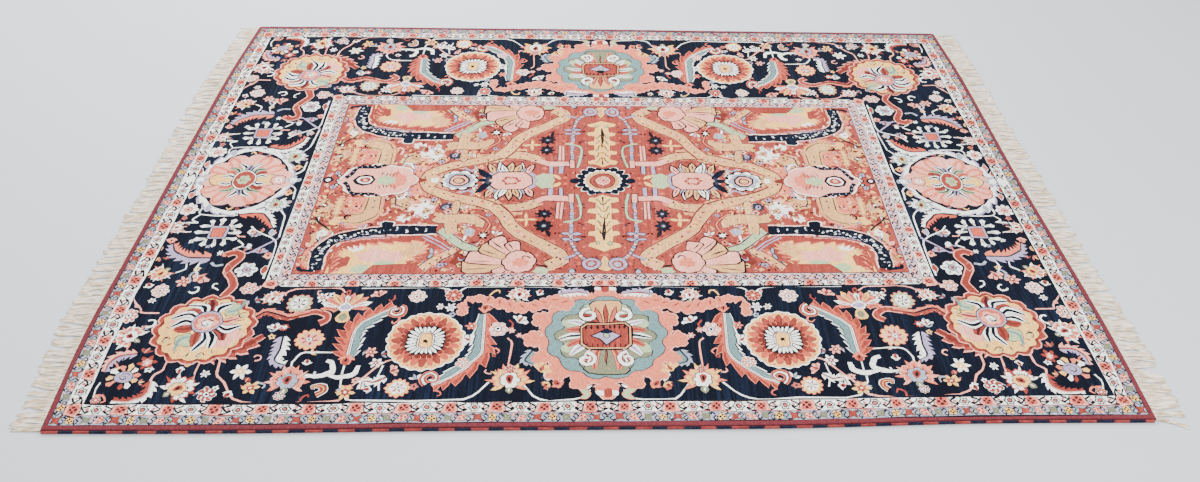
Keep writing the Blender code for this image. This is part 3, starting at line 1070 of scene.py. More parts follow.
# %% Field
def dotted(points, wool, wide, specks, count, edge="slate", seed=3):
    """A strap with an edge line and small marks strewn along it."""
    for side in (-1, 1):
        weave(
            "rose" if wool == "tan" else "pink",
            toothed(points, wide / 2 + 5, max(4, count * 2 // 3), 7, side=side, end=0.9, steps=4)
        )
    vines(points, edge, wide + 9, wool, wide)
    line, ways = rib(points, 5)
    marks = random.Random(seed)
    for k in range(2 * count if wool == "tan" else 0):
        (x, y), (wx, wy) = line[marks.randrange(len(line))], ways[0]
        off = marks.uniform(-0.4, 0.4) * wide
        weave(
            ("straw", "peach", "pink")[k % 3], fleck(12, 0.5), spot(x + off, y - off, marks.uniform(0, 180))
        )
    for k in range(count):
        i = int((k + 0.5) / count * (len(line) - 1))
        off = marks.uniform(-0.3, 0.3) * wide
        (x, y), (wx, wy) = line[i], ways[i]
        at = spot(x - off * wy, y + off * wx, marks.uniform(0, 180))
        weave(specks[k % len(specks)], fleck(7.5, 0.55), at)


def jagged(at, wool, wide, high, teeth, bite, edge=None):
    """A panel whose two long sides are cut into small steps."""
    side = []
    for k in range(teeth):
        y = -high / 2 + high * (k + 0.25) / teeth
        step = high / teeth
        side += [
            (wide / 2, y), (wide / 2 + bite, y + step * 0.15), (wide / 2 + bite * 0.8, y + step * 0.45),
            (wide / 2, y + step * 0.5)
        ]
    shape = [(0, -high / 2)] + side + [(0, high / 2)] + [(-x, y) for x, y in reversed(side)]
    if edge:
        weave(edge, swell(shape, 2.5), at)
    weave(wool, shape, at)


def cloud(at, wool, radius, lobes=7, squash=0.8, edge=None):
    """An uneven patch of another wool."""
    shape = lobed(radius, lobes, 0.42, 0.9, squash=squash, steps=3, start=17)
    shape = [
        (x * (1 + 0.1 * math.sin(7 * k)), y * (1 + 0.1 * math.cos(5 * k))) for k, (x, y) in enumerate(shape)
    ]
    if edge:
        weave(edge, swell(shape, 2.5), at)
    weave(wool, shape, at)


def lay_ground():
    for u, v, wool, radius, lobes, squash in (
        (-1030, -340, "tan", 42, 7, 1.6), (-1035, -330, "ivory", 20, 5, 1.8),
        (-1060, -180, "tan", 45, 6, 1.5), (-950, -160, "peach", 70, 7, 0.9),
        (-1050, -450, "peach", 40, 6, 1.6), (-985, -250, "straw", 45, 7, 0.7),
        (-930, -270, "peach", 60, 8, 0.4), (-690, -170, "pink", 66, 9, 1.0),
        (-690, -175, "ivory", 50, 8, 1.1), (-750, -230, "ivory", 30, 7, 0.9), (-770, -130, "tan", 45, 7, 1.4),
        (-640, -60, "tan", 70, 8, 0.7), (-730, -60, "peach", 50, 7, 1.2), (-540, -60, "coral", 75, 6, 0.3),
        (-530, -165, "straw", 35, 7, 0.8), (-440, -150, "tan", 75, 7, 0.5), (-360, -190, "tan", 60, 7, 0.6),
        (-500, -460, "rust", 60, 6, 0.9), (-200, -250, "coral", 90, 7, 1.1),
        (-270, -300, "coral", 60, 7, 0.9), (-120, -520, "coral", 80, 7, 0.5),
        (-95, -300, "coral", 40, 6, 2.2), (-330, -130, "coral", 75, 7, 0.28),
        (-160, -40, "coral", 60, 7, 0.8),
    ):
        cloud(spot(u, v), wool, radius, lobes, squash)


def navy_arm():
    """The dotted navy arm that bends round the corner of the field, and the tent below it."""
    tent = [
        (-985, -545), (-985, -430), (-950, -385), (-850, -352), (-640, -340), (-610, -400), (-640, -460),
        (-690, -500), (-640, -545)
    ]
    layers(HERE, "coral", swell(tent, 6), "straw", swell(tent, -10))
    for u, v, wool, radius, squash in (
        (-945, -470, "coral", 40, 1.3), (-930, -430, "straw", 22, 0.9), (-800, -440, "pink", 95, 0.55),
        (-690, -410, "tan", 50, 0.9), (-860, -510, "mint", 40, 0.6), (-780, -480, "mint", 40, 0.4),
        (-900, -400, "ivory", 35, 0.5), (-760, -395, "straw", 60, 0.5), (-655, -450, "coral", 30, 0.9)
    ):
        cloud(spot(u, v), wool, radius, 7, squash)
    for path, teeth in (
        (((-972, -535), (-972, -432), (-940, -392), (-850, -362), (-640, -350)), 15),
        (((-640, -352), (-622, -400), (-650, -455), (-700, -492)), 6)
    ):
        layers(
            HERE, "peach", toothed(path, 8, teeth, 32, side=-1, end=1.0),
            "coral", toothed(path, 4, teeth, 22, side=-1, end=1.0)
        )
    layers(
        HERE, "rust", swell([(-855, -545), (-815, -490), (-675, -488), (-625, -545)], 3),
        "coral", [(-855, -545), (-815, -490), (-675, -488), (-625, -545)]
    )
    arm = (
        (-1018, -520), (-1024, -430), (-1000, -372), (-945, -335), (-870, -314), (-790, -302), (-620, -298)
    )
    for wool, wide in (("pink", 62), ("ivory", 56), ("navy", 47)):
        vine(arm, wool, wide)
        weave(wool, petal(-34, 34 + wide / 3, wide, BLUNT), spot(-803, -300))
    dotted(arm, "navy", 40, ("ivory", "sky", "ivory", "slate"), 78, "navy", 5)
    weave("navy", petal(-12, 50, 48, BLUNT), spot(-803, -300))
    vine(((-1082, -498), (-1072, -514), (-1045, -520), (-1020, -520)), "navy", 13)
    comb_leaf(((-960, -368), (-880, -348), (-780, -340)), "lilac", "pink", "coral", 4, 9, 6)
    vines(((-660, -335), (-600, -375), (-560, -415)), "lilac", 20, "coral", 8)
    for x, y, turn in ((-620, -415, 10), (-625, -445, -30)):
        layers(spot(x, y, turn), "slate", petal(-18, 22, 20), "sky", petal(-14, 18, 13))


def straps():
    """The tan strapwork that frames the middle, and the pale bands that tie it to the corner."""
    dotted(
        ((-710, 30), (-680, -45), (-600, -98), (-500, -128), (-430, -158), (-370, -180)), "tan", 44,
        ("sage", "madder", "plum"), 12, "madder", 7
    )
    dotted(
        ((-425, -170), (-345, -170), (-285, -156), (-250, -130)), "tan", 44, ("sage", "plum"), 6, "madder", 8
    )
    dotted(
        (
            (-415, -160), (-372, -222), (-345, -280), (-290, -335), (-222, -385), (-166, -432), (-158, -470),
            (-205, -500)
        ),
        "tan", 50, ("sage", "plum", "madder"), 17, "madder", 9
    )
    dotted(
        ((-605, -300), (-552, -350), (-520, -385), (-462, -412)), "mint", 32, ("sky", "sage"), 5, "slate", 4
    )
    dotted(((-540, -408), (-600, -460), (-655, -520)), "tan", 30, ("plum", "madder", "slate"), 6, "slate", 6)
    cloud(spot(-498, -310), "sky", 24, 5, 1.0, "peach")
    layers(spot(-562, -215), "slate", petal(-2, 95, 40, ROUNDED), "tan", petal(0, 91, 34, ROUNDED))
    pale_bands = (
        (((-630, -222), (-600, -236), (-520, -232), (-470, -246)), 50),
        (((-570, -240), (-568, -285), (-560, -318)), 44),
        (((-490, -240), (-462, -256), (-462, -280)), 30),
    )
    for wool, by in (("slate", 6), ("tan", 0)):
        for path, wide in pale_bands:
            vine(path, wool, wide + by)
    for x, y in ((-600, -232), (-555, -250), (-560, -290), (-510, -235), (-560, -180), (-562, -150)):
        weave("madder", petal(-5, 5, 6), spot(x, y, 30))
    vines(((-470, -215), (-440, -240), (-425, -275), (-438, -310)), "plum", 12, "peach", 6)
    star(spot(-442, -330), "plum", "ivory", 6, 26)
    palmette(spot(-598, -165, 20, 0.5), "slate", "lilac", "plum", "slate")


def pink_fan():
    """The fan of rounded pink petals at the front of the field."""
    for path, wide, wool in (
        (((-350, -500), (-420, -512), (-490, -495)), 66, "tan"),
        (((-345, -480), (-410, -468), (-478, -448)), 58, "pink"),
        (((-340, -460), (-390, -420), (-430, -398)), 56, "tan"),
        (((-330, -445), (-370, -395), (-392, -358)), 54, "pink"),
        (((-310, -440), (-325, -405), (-335, -380)), 48, "pink"), (((-330, -500), (-370, -540)), 60, "pink")
    ):
        (x0, y0), (x1, y1) = path[0], path[-1]
        far = math.dist(path[0], path[-1])
        turn = math.degrees(math.atan2(x0 - x1, y1 - y0))
        for shade, by in (("plum", 5.5), (wool, 0)):
            weave(shade, petal(0, far + 14 + by, wide * 1.15 + 2 * by, BLUNT), spot(x0, y0, turn))
        weave("plum", petal(far * 0.5, far + 16, 6.5), spot(x0, y0, turn + 9))
    layers(
        spot(-305, -475), "plum", lobed(64, 8, 0.08, 0.6, steps=4), "pink", lobed(59, 8, 0.08, 0.6, steps=4)
    )
    cloud(spot(-300, -478), "peach", 34, 7, 0.8)
    weave("plum", spiral(0.6, 18, 5, start=0, steps=9), spot(-285, -455))
    vine(((-245, -494), (-205, -500)), "plum", 8)
    cloud(spot(-225, -520), "mint", 32, 6, 0.6)


def middle_panel():
    """The cream panel on the short axis, with a dark branch, and the chains beside it."""
    jagged(spot(0, -255), "field", 110, 350, 8, 16)
    jagged(spot(0, -255), "straw", 62, 330, 5, 30, "rust")
    vine(((0, -105), (4, -200), (-4, -300), (0, -360)), "plum", 7)
    for y in (-130, -170, -215, -260, -300):
        vine(((0, y - 20), (-12, y - 14), (-16, y + 4)), "plum", 4.5)
        weave("sage", petal(0, 18, 10), spot(-18, y, 25))
    layers(spot(-22, -375), "slate", disc(10, steps=8), "mint", disc(7, steps=8))
    layers(spot(0, -445, 180), "straw", petal(0, 75, 60, DROP), "tan", petal(10, 65, 40, DROP))
    vines(((-167, -135), (-167, -235)), "slate", 30, "pink", 22, "coral", 5)
    chain = ((-122, -135), (-122, -240), (-120, -345), (-108, -405), (-80, -450), (-55, -470))
    vines(chain, "slate", 19, "lilac", 14)
    line, _ = rib(chain, 6)
    for k in range(1, len(line), 2):
        layers(
            spot(*line[k]), "slate", lobed(10.5, 4, 0.2, 0.7, steps=3),
            "sky" if k % 4 == 1 else "pink", lobed(7.8, 4, 0.2, 0.7, steps=3)
        )
    for side in (-1, 1):
        for v in (-322, -352):
            layers(spot(-121, v, 90 * side), "slate", petal(0, 42, 22), "lilac", petal(3, 37, 15))
    layers(
        HERE, "slate", ribbon(((-105, -440), (-150, -462)), 14),
        "lilac", ribbon(((-105, -440), (-150, -462)), 9)
    )
    layers(
        spot(-48, -487), "slate", disc(36, steps=12), "lilac", disc(32, steps=12),
        "coral", disc(20, steps=10), "sky", lobed(14, 5, 0.3, 0.8, steps=3)
    )
    layers(spot(-118, -548), "slate", petal(0, 40, 30), "sky", petal(0, 34, 22))
    loop = ((-100, -85), (-88, -140), (-85, -205), (-102, -238), (-150, -252))
    vines(loop, "slate", 14, "mint", 9)
    handle = ((-262, -136), (-235, -116), (-195, -110), (-120, -112))
    vines(handle, "plum", 36, "pink", 29)
    vine(((-122, -80), (-122, -140)), "plum", 28)
    vine(((-122, -84), (-122, -136)), "pink", 21)
    for u in (-205, -165):
        vines(((u, -95), (u, -45)), "slate", 22, "lilac", 16)
    cloud(spot(-228, -10), "mint", 42, 6, 1.1, "coral")
    weave("straw", petal(0, 50, 20), spot(-165, -10, 130))
    for v, size in ((-205, 1.0), (-275, 1.1)):
        at = spot(-225, v, 0, size)
        for turn in (-90, 90, 0, 180, -45, 45, 135, -135):
            weave("plum" if turn % 90 else "navy", petal(0, 34, 18), on(at, turn=turn))
        layers(at, "slate", disc(12, steps=8), "sky", disc(6, steps=6))
    weave("plum", petal(0, 60, 16), spot(-215, -290, 195))
    for turn in (0, 90, 180, 270):
        weave("straw", petal(0, 42, 14), spot(-290, -240, turn))


def axis_flowers():
    """The flowers in a row on the long axis, from the medallion to the end of the field."""
    layers(
        spot(0, 0), "coral", disc(118, 0.95, 20), "ivory", lobed(113, 18, 0.16, 0.6, squash=0.92, steps=4),
        "navy", lobed(109, 18, 0.16, 0.6, squash=0.92, steps=4)
    )
    weave("navy", petal(80, 130, 34, ROUNDED), spot(0, 0, 90))
    layers(
        spot(0, 0), "ivory", lobed(80, 18, 0.12, 1.2, squash=0.92, steps=4, start=10),
        "tan", disc(70, 0.92, 18), "plum", disc(52, 0.95, 16), "coral", disc(48, 0.95, 16),
        "plum", lobed(32, 8, 0.25, 0.8, steps=3), "pink", lobed(29, 8, 0.25, 0.8, steps=3)
    )
    ring_of(spot(0, 0), "slate", 8, petal(8, 24, 4))
    weave("coral", disc(6, steps=6), spot(0, 0))
    # pink palmette beside the medallion
    at = spot(-362, 0)
    weave("lilac", swell(block(185, 160, 50), 10), at)
    for x, y, turn, wool in (
        (-70, -55, 155, "tan"), (-40, -62, 170, "ivory"), (-5, -62, 182, "tan"), (30, -60, 192, "ivory"),
        (62, -50, 205, "pink"), (-20, -50, 160, "ivory"), (15, -52, 200, "tan")
    ):
        layers(
            on(at, x, y, turn=turn), "plum", petal(-10, 68, 37), wool, petal(-10, 59, 25),
            "madder", petal(10, 44, 6)
        )
    layers(
        at, "plum", block(175, 118, 34), "pink", block(165, 108, 32),
        "coral", lobed(40, 6, 0.3, 0.8, squash=0.7), "pink", lobed(26, 6, 0.3, 0.8, squash=0.7)
    )
    weave("navy", petal(0, 95, 34), spot(-438, -8, 140))
    weave("navy", petal(0, 45, 26), spot(-450, 0, 90))
    weave("slate", lobed(12, 5, 0.3, 0.8, steps=3), spot(-452, -12))
    # ring flower
    at = spot(-565, 0)
    layers(
        at, "navy", lobed(80, 10, 0.18, 0.8, squash=0.85, steps=3),
        "ivory", lobed(73, 10, 0.16, 0.8, squash=0.85, steps=4),
        "sky", lobed(62, 8, 0.16, 0.8, squash=0.85, steps=4), "plum", block(80, 74, 22),
        "pink", block(66, 60, 18), "plum", block(46, 42, 14), "tan", block(34, 30, 10)
    )
    star(spot(-660, 0), "tan", "ivory", 4, 36)
    weave("rust", petal(0, 60, 30), spot(-690, 0, 90))
    # great pink palmette at the end of the field
    at = spot(-905, 0)
    weave("coral", lobed(165, 8, 0.14, 0.7, squash=0.72, steps=5), on(at, 20, 0))
    weave("ivory", lobed(158, 8, 0.14, 0.7, squash=0.7, steps=5), on(at, 22, 0))
    weave("pink", lobed(152, 8, 0.14, 0.7, squash=0.68, steps=5), on(at, 24, 0))
    zigzag = ((-1010, -12), (-990, -45), (-975, -78), (-935, -84), (-890, -86), (-860, -108), (-835, -112))
    vine(zigzag, "navy", 16)
    line, _ = rib(zigzag, 5)
    for k in range(0, len(line), 3):
        weave("navy", petal(0, 20, 14), spot(*line[k], 180 + 40 * (k % 2)))
        weave("sky", disc(3.5, steps=5), spot(*line[k]))
    cloud(on(at, 90, 0), "peach", 50, 7, 1.2)
    cloud(on(at, 55, 0), "mint", 40, 7, 0.8)
    for k in range(5):
        weave("slate", petal(0, 30, 5), on(at, 30 + 14 * k, -28 + 6 * (k % 2), turn=200))
    layers(
        on(at, -30, 0), "plum", lobed(45, 8, 0.2, 0.8, squash=0.85, steps=3),
        "ivory", lobed(32, 8, 0.2, 0.8, squash=0.85, steps=3), "coral", disc(22, 0.85, 10),
        "pink", disc(10, steps=7)
    )
    for x, y, r in ((-1078, 0, 20), (-1040, -28, 11), (-1042, 0, 10)):
        layers(spot(x, y), "navy", lobed(r, 5, 0.2, 0.8, steps=3), "ivory", disc(r * 0.45, steps=7))
    # hooked strap below it
    strap = ((-876, -105), (-876, -190), (-892, -222), (-930, -238), (-958, -232))
    for wool, wide in (("peach", 82), ("tan", 70), ("plum", 56), ("tan", 48)):
        vine(strap, wool, wide)
    weave("plum", spiral(0.7, 20, 9, start=250, hand=-1, steps=9), spot(-955, -222))
    for v in (-130, -165):
        layers(spot(-876, v), "sage", petal(-8, 8, 10), "slate", petal(-4, 4, 5))
    jagged(spot(-1005, -160), "tan", 20, 110, 5, 8, "coral")
    vine(((-1005, -115), (-1005, -205)), "straw", 8)
    vine(((-1070, -245), (-1040, -275), (-1010, -305)), "plum", 7)
    weave("plum", petal(-12, 12, 12), spot(-1074, -238, 40))
    for x, y in ((-1078, -160), (-1062, -166), (-1075, -400), (-1050, -420), (-1075, -320)):
        weave("slate", petal(-8, 8, 9), spot(x, y, 30))
    vine(((-800, -100), (-792, -150), (-770, -165)), "slate", 6)


before_field = len(drawing)
lay_ground()
flecks(420, (-1090, -530), (-380, 0), ("peach", "tan", "apricot", "rust", "pink", "straw"), 3, (6, 17))
flecks(160, (-400, -530), (0, 0), ("rust", "apricot", "rose"), 9)
flecks(230, (-1090, -530), (0, 0), ("plum", "slate", "madder"), 12, (4, 9))
scatter(
    190, (-1090, -530), (-380, 0), ("tan", "pink", "straw", "ivory", "peach", "coral", "lilac"), "plum", 5,
    (0.8, 1.5)
)
straps()
navy_arm()
pink_fan()
axis_flowers()
middle_panel()
tuck_in(before_field, (-1094.5, -534.5))

# %% [markdown]
# Materials. A pile is thousands of cut yarn ends that all lean one way, so it is dull, soft at
# the edge of the light and never one even colour: the dyer's skeins differ, which shows as bands
# along the weft, and each knot differs a little. Image textures would need a photograph, so the
# pile reads its wool from the net's own colours and adds the bands and knots from noise, with
# grains of their real sizes.

# %% One helper for nodes
def node(tree, kind, settings=(), **inputs):
    """Adds a node. Inputs are given by name or as i0, i1 and so on, as a value or a socket to link."""
    made = tree.nodes.new(kind)
    for key, value in dict(settings).items():
        setattr(made, key, value)
    for key, value in inputs.items():
        numbered = key[0] == "i" and key[1:].isdigit()
        socket = made.inputs[int(key[1:]) if numbered else key.replace("_", " ")]
        if isinstance(value, bpy.types.NodeSocket):
            tree.links.new(value, socket)
        else:
            socket.default_value = value
    return made


def new_material(name):
    made = bpy.data.materials.new(name)
    made.use_nodes = True
    return made, made.node_tree, made.node_tree.nodes["Principled BSDF"]


def stretched_noise(tree, place, per_metre, detail=2.0):
    """Noise whose grains are stretched: per_metre gives how many fit along X, Y and Z."""
    scaled = node(tree, "ShaderNodeVectorMath", {"operation": "MULTIPLY"}, i0=place, i1=per_metre)
    return node(tree, "ShaderNodeTexNoise", Vector=scaled.outputs[0], Scale=1.0, Detail=detail).outputs["Fac"]


def ramp(tree, value, low, high, to_low=0.0, to_high=1.0):
    """Stretches a value's range and keeps it inside the new one."""
    made = node(tree, "ShaderNodeMapRange", {"clamp": True}, Value=value)
    for key, number in (("From Min", low), ("From Max", high), ("To Min", to_low), ("To Max", to_high)):
        made.inputs[key].default_value = number
    return made.outputs["Result"]


def mix(tree, blend, factor, a, b):
    made = node(tree, "ShaderNodeMix", {"data_type": "RGBA", "blend_type": blend}, i0=factor, i6=a, i7=b)
    return made.outputs[2]


def times(tree, a, b):
    return node(tree, "ShaderNodeMath", {"operation": "MULTIPLY"}, i0=a, i1=b).outputs[0]


# %% Hand-knotted wool
# noise grains to a metre, along the rug, across it and upwards
BAND_GRAINS = (95.0, 3.0, 1.0)  # a band along the weft is about 10 mm wide
PATCH_GRAINS = (6.0, 2.2, 1.0)  # and shows in patches of about 170 x 450 mm
KNOT_GRAINS = (330.0, 300.0, 300.0)  # a knot is about 3 mm
TUFT_GRAINS = (150.0, 80.0, 80.0)  # a worn tuft is about 7 x 12 mm
pile_wool, tree, shader = new_material("hand-knotted wool pile")
place = node(tree, "ShaderNodeTexCoord").outputs["Object"]
wool = node(tree, "ShaderNodeAttribute", {"attribute_name": "wool"}).outputs["Color"]
skein = node(tree, "ShaderNodeAttribute", {"attribute_name": "skein"}).outputs["Color"]
bands = ramp(tree, stretched_noise(tree, place, BAND_GRAINS, 3.0), 0.42, 0.68)
patches = ramp(tree, stretched_noise(tree, place, PATCH_GRAINS, 2.0), 0.36, 0.64)
dyed = mix(tree, "MIX", times(tree, bands, patches), wool, skein)
knots = stretched_noise(tree, place, KNOT_GRAINS, 1.0)
tufts = stretched_noise(tree, place, TUFT_GRAINS, 3.0)
shade = ramp(tree, knots, 0.32, 0.68, 0.7, 1.22)
worn = ramp(tree, tufts, 0.3, 0.7, 0.82, 1.14)
for part in (shade, worn):
    grey = node(tree, "ShaderNodeCombineColor", i0=part, i1=part, i2=part).outputs[0]
    dyed = mix(tree, "MULTIPLY", 1.0, dyed, grey)
tree.links.new(dyed, shader.inputs["Base Color"])
height = mix(tree, "MIX", 0.4, knots, tufts)
bump = node(tree, "ShaderNodeBump", Height=height, Strength=0.55, Distance=0.0014)
tree.links.new(bump.outputs[0], shader.inputs["Normal"])
shader.inputs["Roughness"].default_value = 0.93
shader.inputs["Specular IOR Level"].default_value = 0.03
shader.inputs["Sheen Weight"].default_value = 0.02
shader.inputs["Sheen Roughness"].default_value = 0.5


# %% Cord yarn and fringe cotton
# noise grains to a metre, as above
CORD_GRAINS = (40.0, 120.0, 120.0)  # a wrap's shade holds for about 25 mm along the cord
COTTON_GRAINS = (30.0, 160.0, 160.0)  # and a warp's for about 33 mm, in strands of about 6 mm
FIBRE_GRAINS = (900.0, 900.0, 900.0)  # fibres of about 1 mm


def yarn(name, dye, pale, grains):
    """Twisted yarn: its shade drifts along and across, and fine fibres catch the light."""
    made, tree, shader = new_material(name)
    place = node(tree, "ShaderNodeTexCoord").outputs["Object"]
    drift = ramp(tree, stretched_noise(tree, place, grains, 3.0), 0.35, 0.65)
    fibre = stretched_noise(tree, place, FIBRE_GRAINS, 2.0)
    coloured = mix(tree, "MIX", drift, dye, pale)
    tree.links.new(coloured, shader.inputs["Base Color"])
    bump = node(tree, "ShaderNodeBump", Height=fibre, Strength=0.5, Distance=0.0008)
    tree.links.new(bump.outputs[0], shader.inputs["Normal"])
    shader.inputs["Roughness"].default_value = 0.9
    shader.inputs["Specular IOR Level"].default_value = 0.05
    shader.inputs["Sheen Weight"].default_value = 0.03
    return made


coral_yarn = yarn("coral wool cord yarn", wool_dye("#bc5454"), wool_dye("#d27a70"), CORD_GRAINS)
indigo_yarn = yarn("indigo wool cord yarn", wool_dye("#2c3054"), wool_dye("#424a70"), CORD_GRAINS)
fringe_cotton = yarn("undyed cotton warp yarn", linear("#c4aa86"), linear("#f6eee0"), COTTON_GRAINS)
print("materials:", [m.name for m in (pile_wool, coral_yarn, indigo_yarn, fringe_cotton)])


def add_piece(name, data, replaced=None):
    """Links a finished mesh or curve, rides it on the rug and lets it stand for a solid."""
    obj = bpy.data.objects.new(name, data)
    bpy.context.scene.collection.objects.link(obj)
    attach(obj, "root")
    if replaced:
        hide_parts(replaced)
    return obj

# %% [markdown]
# The knotted body. The plan's outlines lie over one another like cut paper. Blender's constrained
# triangulation merges them into one flat net. The outlines that wind round a triangle cover it,
# and the last one drawn gives its wool. Only lines between two wools stay, and a second net goes
# through them. A loose grid of points in between lets it follow the rug's swells. The quarter is
# mirrored twice, and only then laid down, so that the drawing is as even as a weaver's and the
# outline as uneven as the loom made it.
#
# One net of the whole cloth would be too heavy to handle, so it is made in two pieces: the border
# with the rug's rim, and the field with its guards. They meet along the seam, the straight line on
# the plan where the wide border's band ends.

# %% From plan to net
# in millimetres of the plan
NET_STEP = 55  # between the loose points
ON_AXIS = 0.05  # points this near a mirror line lie on it, so that the halves join
SAME_POINT = 0.02  # points this near become one
SHORTEST = 0.4  # step along an outline
FLATTEST = 0.6  # bend that an outline keeps
MOST_MOVED = 0.7  # by a line between two wools when it is straightened
PLAN_CORNER = [(-HALF_U, -HALF_V), (0.0, -HALF_V), (0.0, 0.0), (-HALF_U, 0.0)]


def tidy(shape):
    """The outline without points that hardly bend it."""
    kept = []
    for here, after in zip(shape, shape[1:] + shape[:1]):
        before = kept[-1] if kept else shape[-1]
        long = math.dist(before, after)
        if math.dist(before, here) < SHORTEST:
            continue
        (ax, ay), (x, y), (bx, by) = before, here, after
        across = (bx - ax) * (y - ay) - (by - ay) * (x - ax)
        ahead = (bx - x) * (x - ax) + (by - y) * (y - ay)
        if long and abs(across) / long < FLATTEST and ahead > 0:
            continue
        kept.append(here)
    return kept


def net_through(points, edges):
    """A flat net of triangles that has these edges as lines, and loose points in between."""
    across = [-HALF_U] + [-i * NET_STEP for i in range(int(HALF_U / NET_STEP) + 1)]
    along = [-HALF_V] + [-j * NET_STEP for j in range(int(HALF_V / NET_STEP) + 1)]
    loose = [(u, v) for u in across for v in along]
    verts, _, triangles, _, _, _ = delaunay_2d_cdt(
        [Vector(p) for p in list(points) + loose], edges, [], 0, SAME_POINT, False
    )
    verts, triangles = np.array([v[:] for v in verts]), np.array(triangles)
    verts[np.abs(verts) < ON_AXIS] = 0.0
    u, v = verts[triangles].mean(axis=1).T
    inside = (u > -HALF_U) & (u < 0) & (v > -HALF_V) & (v < 0)
    return verts, triangles[inside][np.argsort(u[inside])]


def covered_by(shape, x, y):
    """Which of these points an outline winds round."""
    ax, ay = np.array(shape).T[:, :, None]
    bx, by = np.roll(ax, -1, axis=0), np.roll(ay, -1, axis=0)
    left = (bx - ax) * (y - ay) - (by - ay) * (x - ax)
    winds = ((ay <= y) & (by > y) & (left > 0)).sum(0)
    winds -= ((ay > y) & (by <= y) & (left < 0)).sum(0)
    return winds != 0


def wool_on(verts, triangles):
    """The number of the wool that lies on top at each triangle."""
    x, y = verts[triangles].mean(axis=1).T
    found = np.zeros(len(triangles), int)
    for wool, shape in plan:
        low, high = np.min(shape, axis=0), np.max(shape, axis=0)
        first, last = np.searchsorted(x, (low[0], high[0]))
        near = first + np.flatnonzero((y[first:last] > low[1]) & (y[first:last] < high[1]))
        if len(near):
            found[near[covered_by(shape, x[near], y[near])]] = WOOL_ORDER.index(wool)
    return found


def lines_that_show(triangles, wools):
    """The edges between two wools, and those on the outline."""
    sides = np.sort(
        np.concatenate([triangles[:, (0, 1)], triangles[:, (1, 2)], triangles[:, (2, 0)]]), axis=1
    )
    colours = np.tile(wools, 3)
    order = np.lexsort((sides[:, 1], sides[:, 0]))
    sides, colours = sides[order], colours[order]
    same = (sides[1:] == sides[:-1]).all(axis=1)
    hidden = np.flatnonzero(same & (colours[1:] == colours[:-1]))
    seen = np.ones(len(sides), bool)
    seen[np.concatenate([hidden, hidden + 1])] = False
    return np.unique(sides[seen], axis=0)


def straighten(points, edges):
    """The lines without the points that hidden outlines left on them."""
    near = [[] for _ in points]
    for a, b in edges:
        near[a].append(int(b))
        near[b].append(int(a))
    for here, joined in enumerate(near):
        if len(joined) != 2 or joined[1] in near[joined[0]]:
            continue
        a, b = joined
        (ax, ay), (bx, by), (x, y) = points[a], points[b], points[here]
        long = math.hypot(bx - ax, by - ay)
        ahead = (x - ax) * (bx - x) + (y - ay) * (by - y)
        if ahead > 0 and abs((bx - ax) * (y - ay) - (by - ay) * (x - ax)) < MOST_MOVED * long:
            near[a][near[a].index(here)] = b
            near[b][near[b].index(here)] = a
            near[here] = []
    kept = [k for k, joined in enumerate(near) if joined]
    number = {k: i for i, k in enumerate(kept)}
    lines = [(number[a], number[b]) for a in kept for b in near[a] if a < b]
    return [points[k] for k in kept], lines


SEAM_BANDS = BANDS[:7]  # those outside the seam
seam_u = -HALF_U + sum(at_end for _, at_end, _ in SEAM_BANDS)
seam_v = -HALF_V + sum(at_side for _, _, at_side in SEAM_BANDS)
seam = [(seam_u, 0.0), (seam_u, seam_v), (0.0, seam_v)]

WOOL_ORDER = list(WOOLS)
plan = [(wool, tidy(shape)) for wool, shape in drawing]
plan = [(wool, shape) for wool, shape in plan if len(shape) > 2]
points, edges = [], []
for shape in [PLAN_CORNER] + [shape for _, shape in plan]:
    first, count = len(points), len(shape)
    edges.extend((first + k, first + (k + 1) % count) for k in range(count))
    points.extend(shape)
rough_points, rough = net_through(points, edges)
shown = lines_that_show(rough, wool_on(rough_points, rough))
used, where = np.unique(shown, return_inverse=True)
line_points, lines = straighten(rough_points[used].tolist(), where.reshape(-1, 2))
end = len(line_points)
net_points, net = net_through(line_points + seam, lines + [(end, end + 1), (end + 1, end + 2)])
net_wools = wool_on(net_points, net)
print("outlines:", len(plan), "triangles in a quarter:", len(rough), "needed:", len(net))

# %% Mirror, close the back and lay it down
RIM_FOUND = 0.0001  # a point this near the plan's edge is on it
# from the plan's millimetres to metres on the rug's true rectangle
TO_PLACE = np.array([(HALF_LENGTH - RIM_ROUND) / HALF_U, (PILE_HALF_WIDTH - RIM_ROUND) / HALF_V])


def stray(p, q):
    """How far the drawing strays from its plan there: knots are counted by eye, and the loom pulls."""
    keep = np.clip((HALF_LENGTH - np.abs(p)) / 0.03, 0, 1) * np.clip(
        (PILE_HALF_WIDTH - np.abs(q)) / 0.03, 0, 1
    )
    along = 1.9 * np.sin(61 * p + 23 * q + 1) + 1.3 * np.sin(47 * p - 113 * q)
    along += 0.8 * np.sin(190 * p + 240 * q)
    across = 1.9 * np.sin(29 * p - 53 * q + 2) + 1.3 * np.sin(119 * p + 41 * q)
    across += 0.8 * np.sin(230 * p - 180 * q)
    return 0.001 * keep * along, 0.001 * keep * across


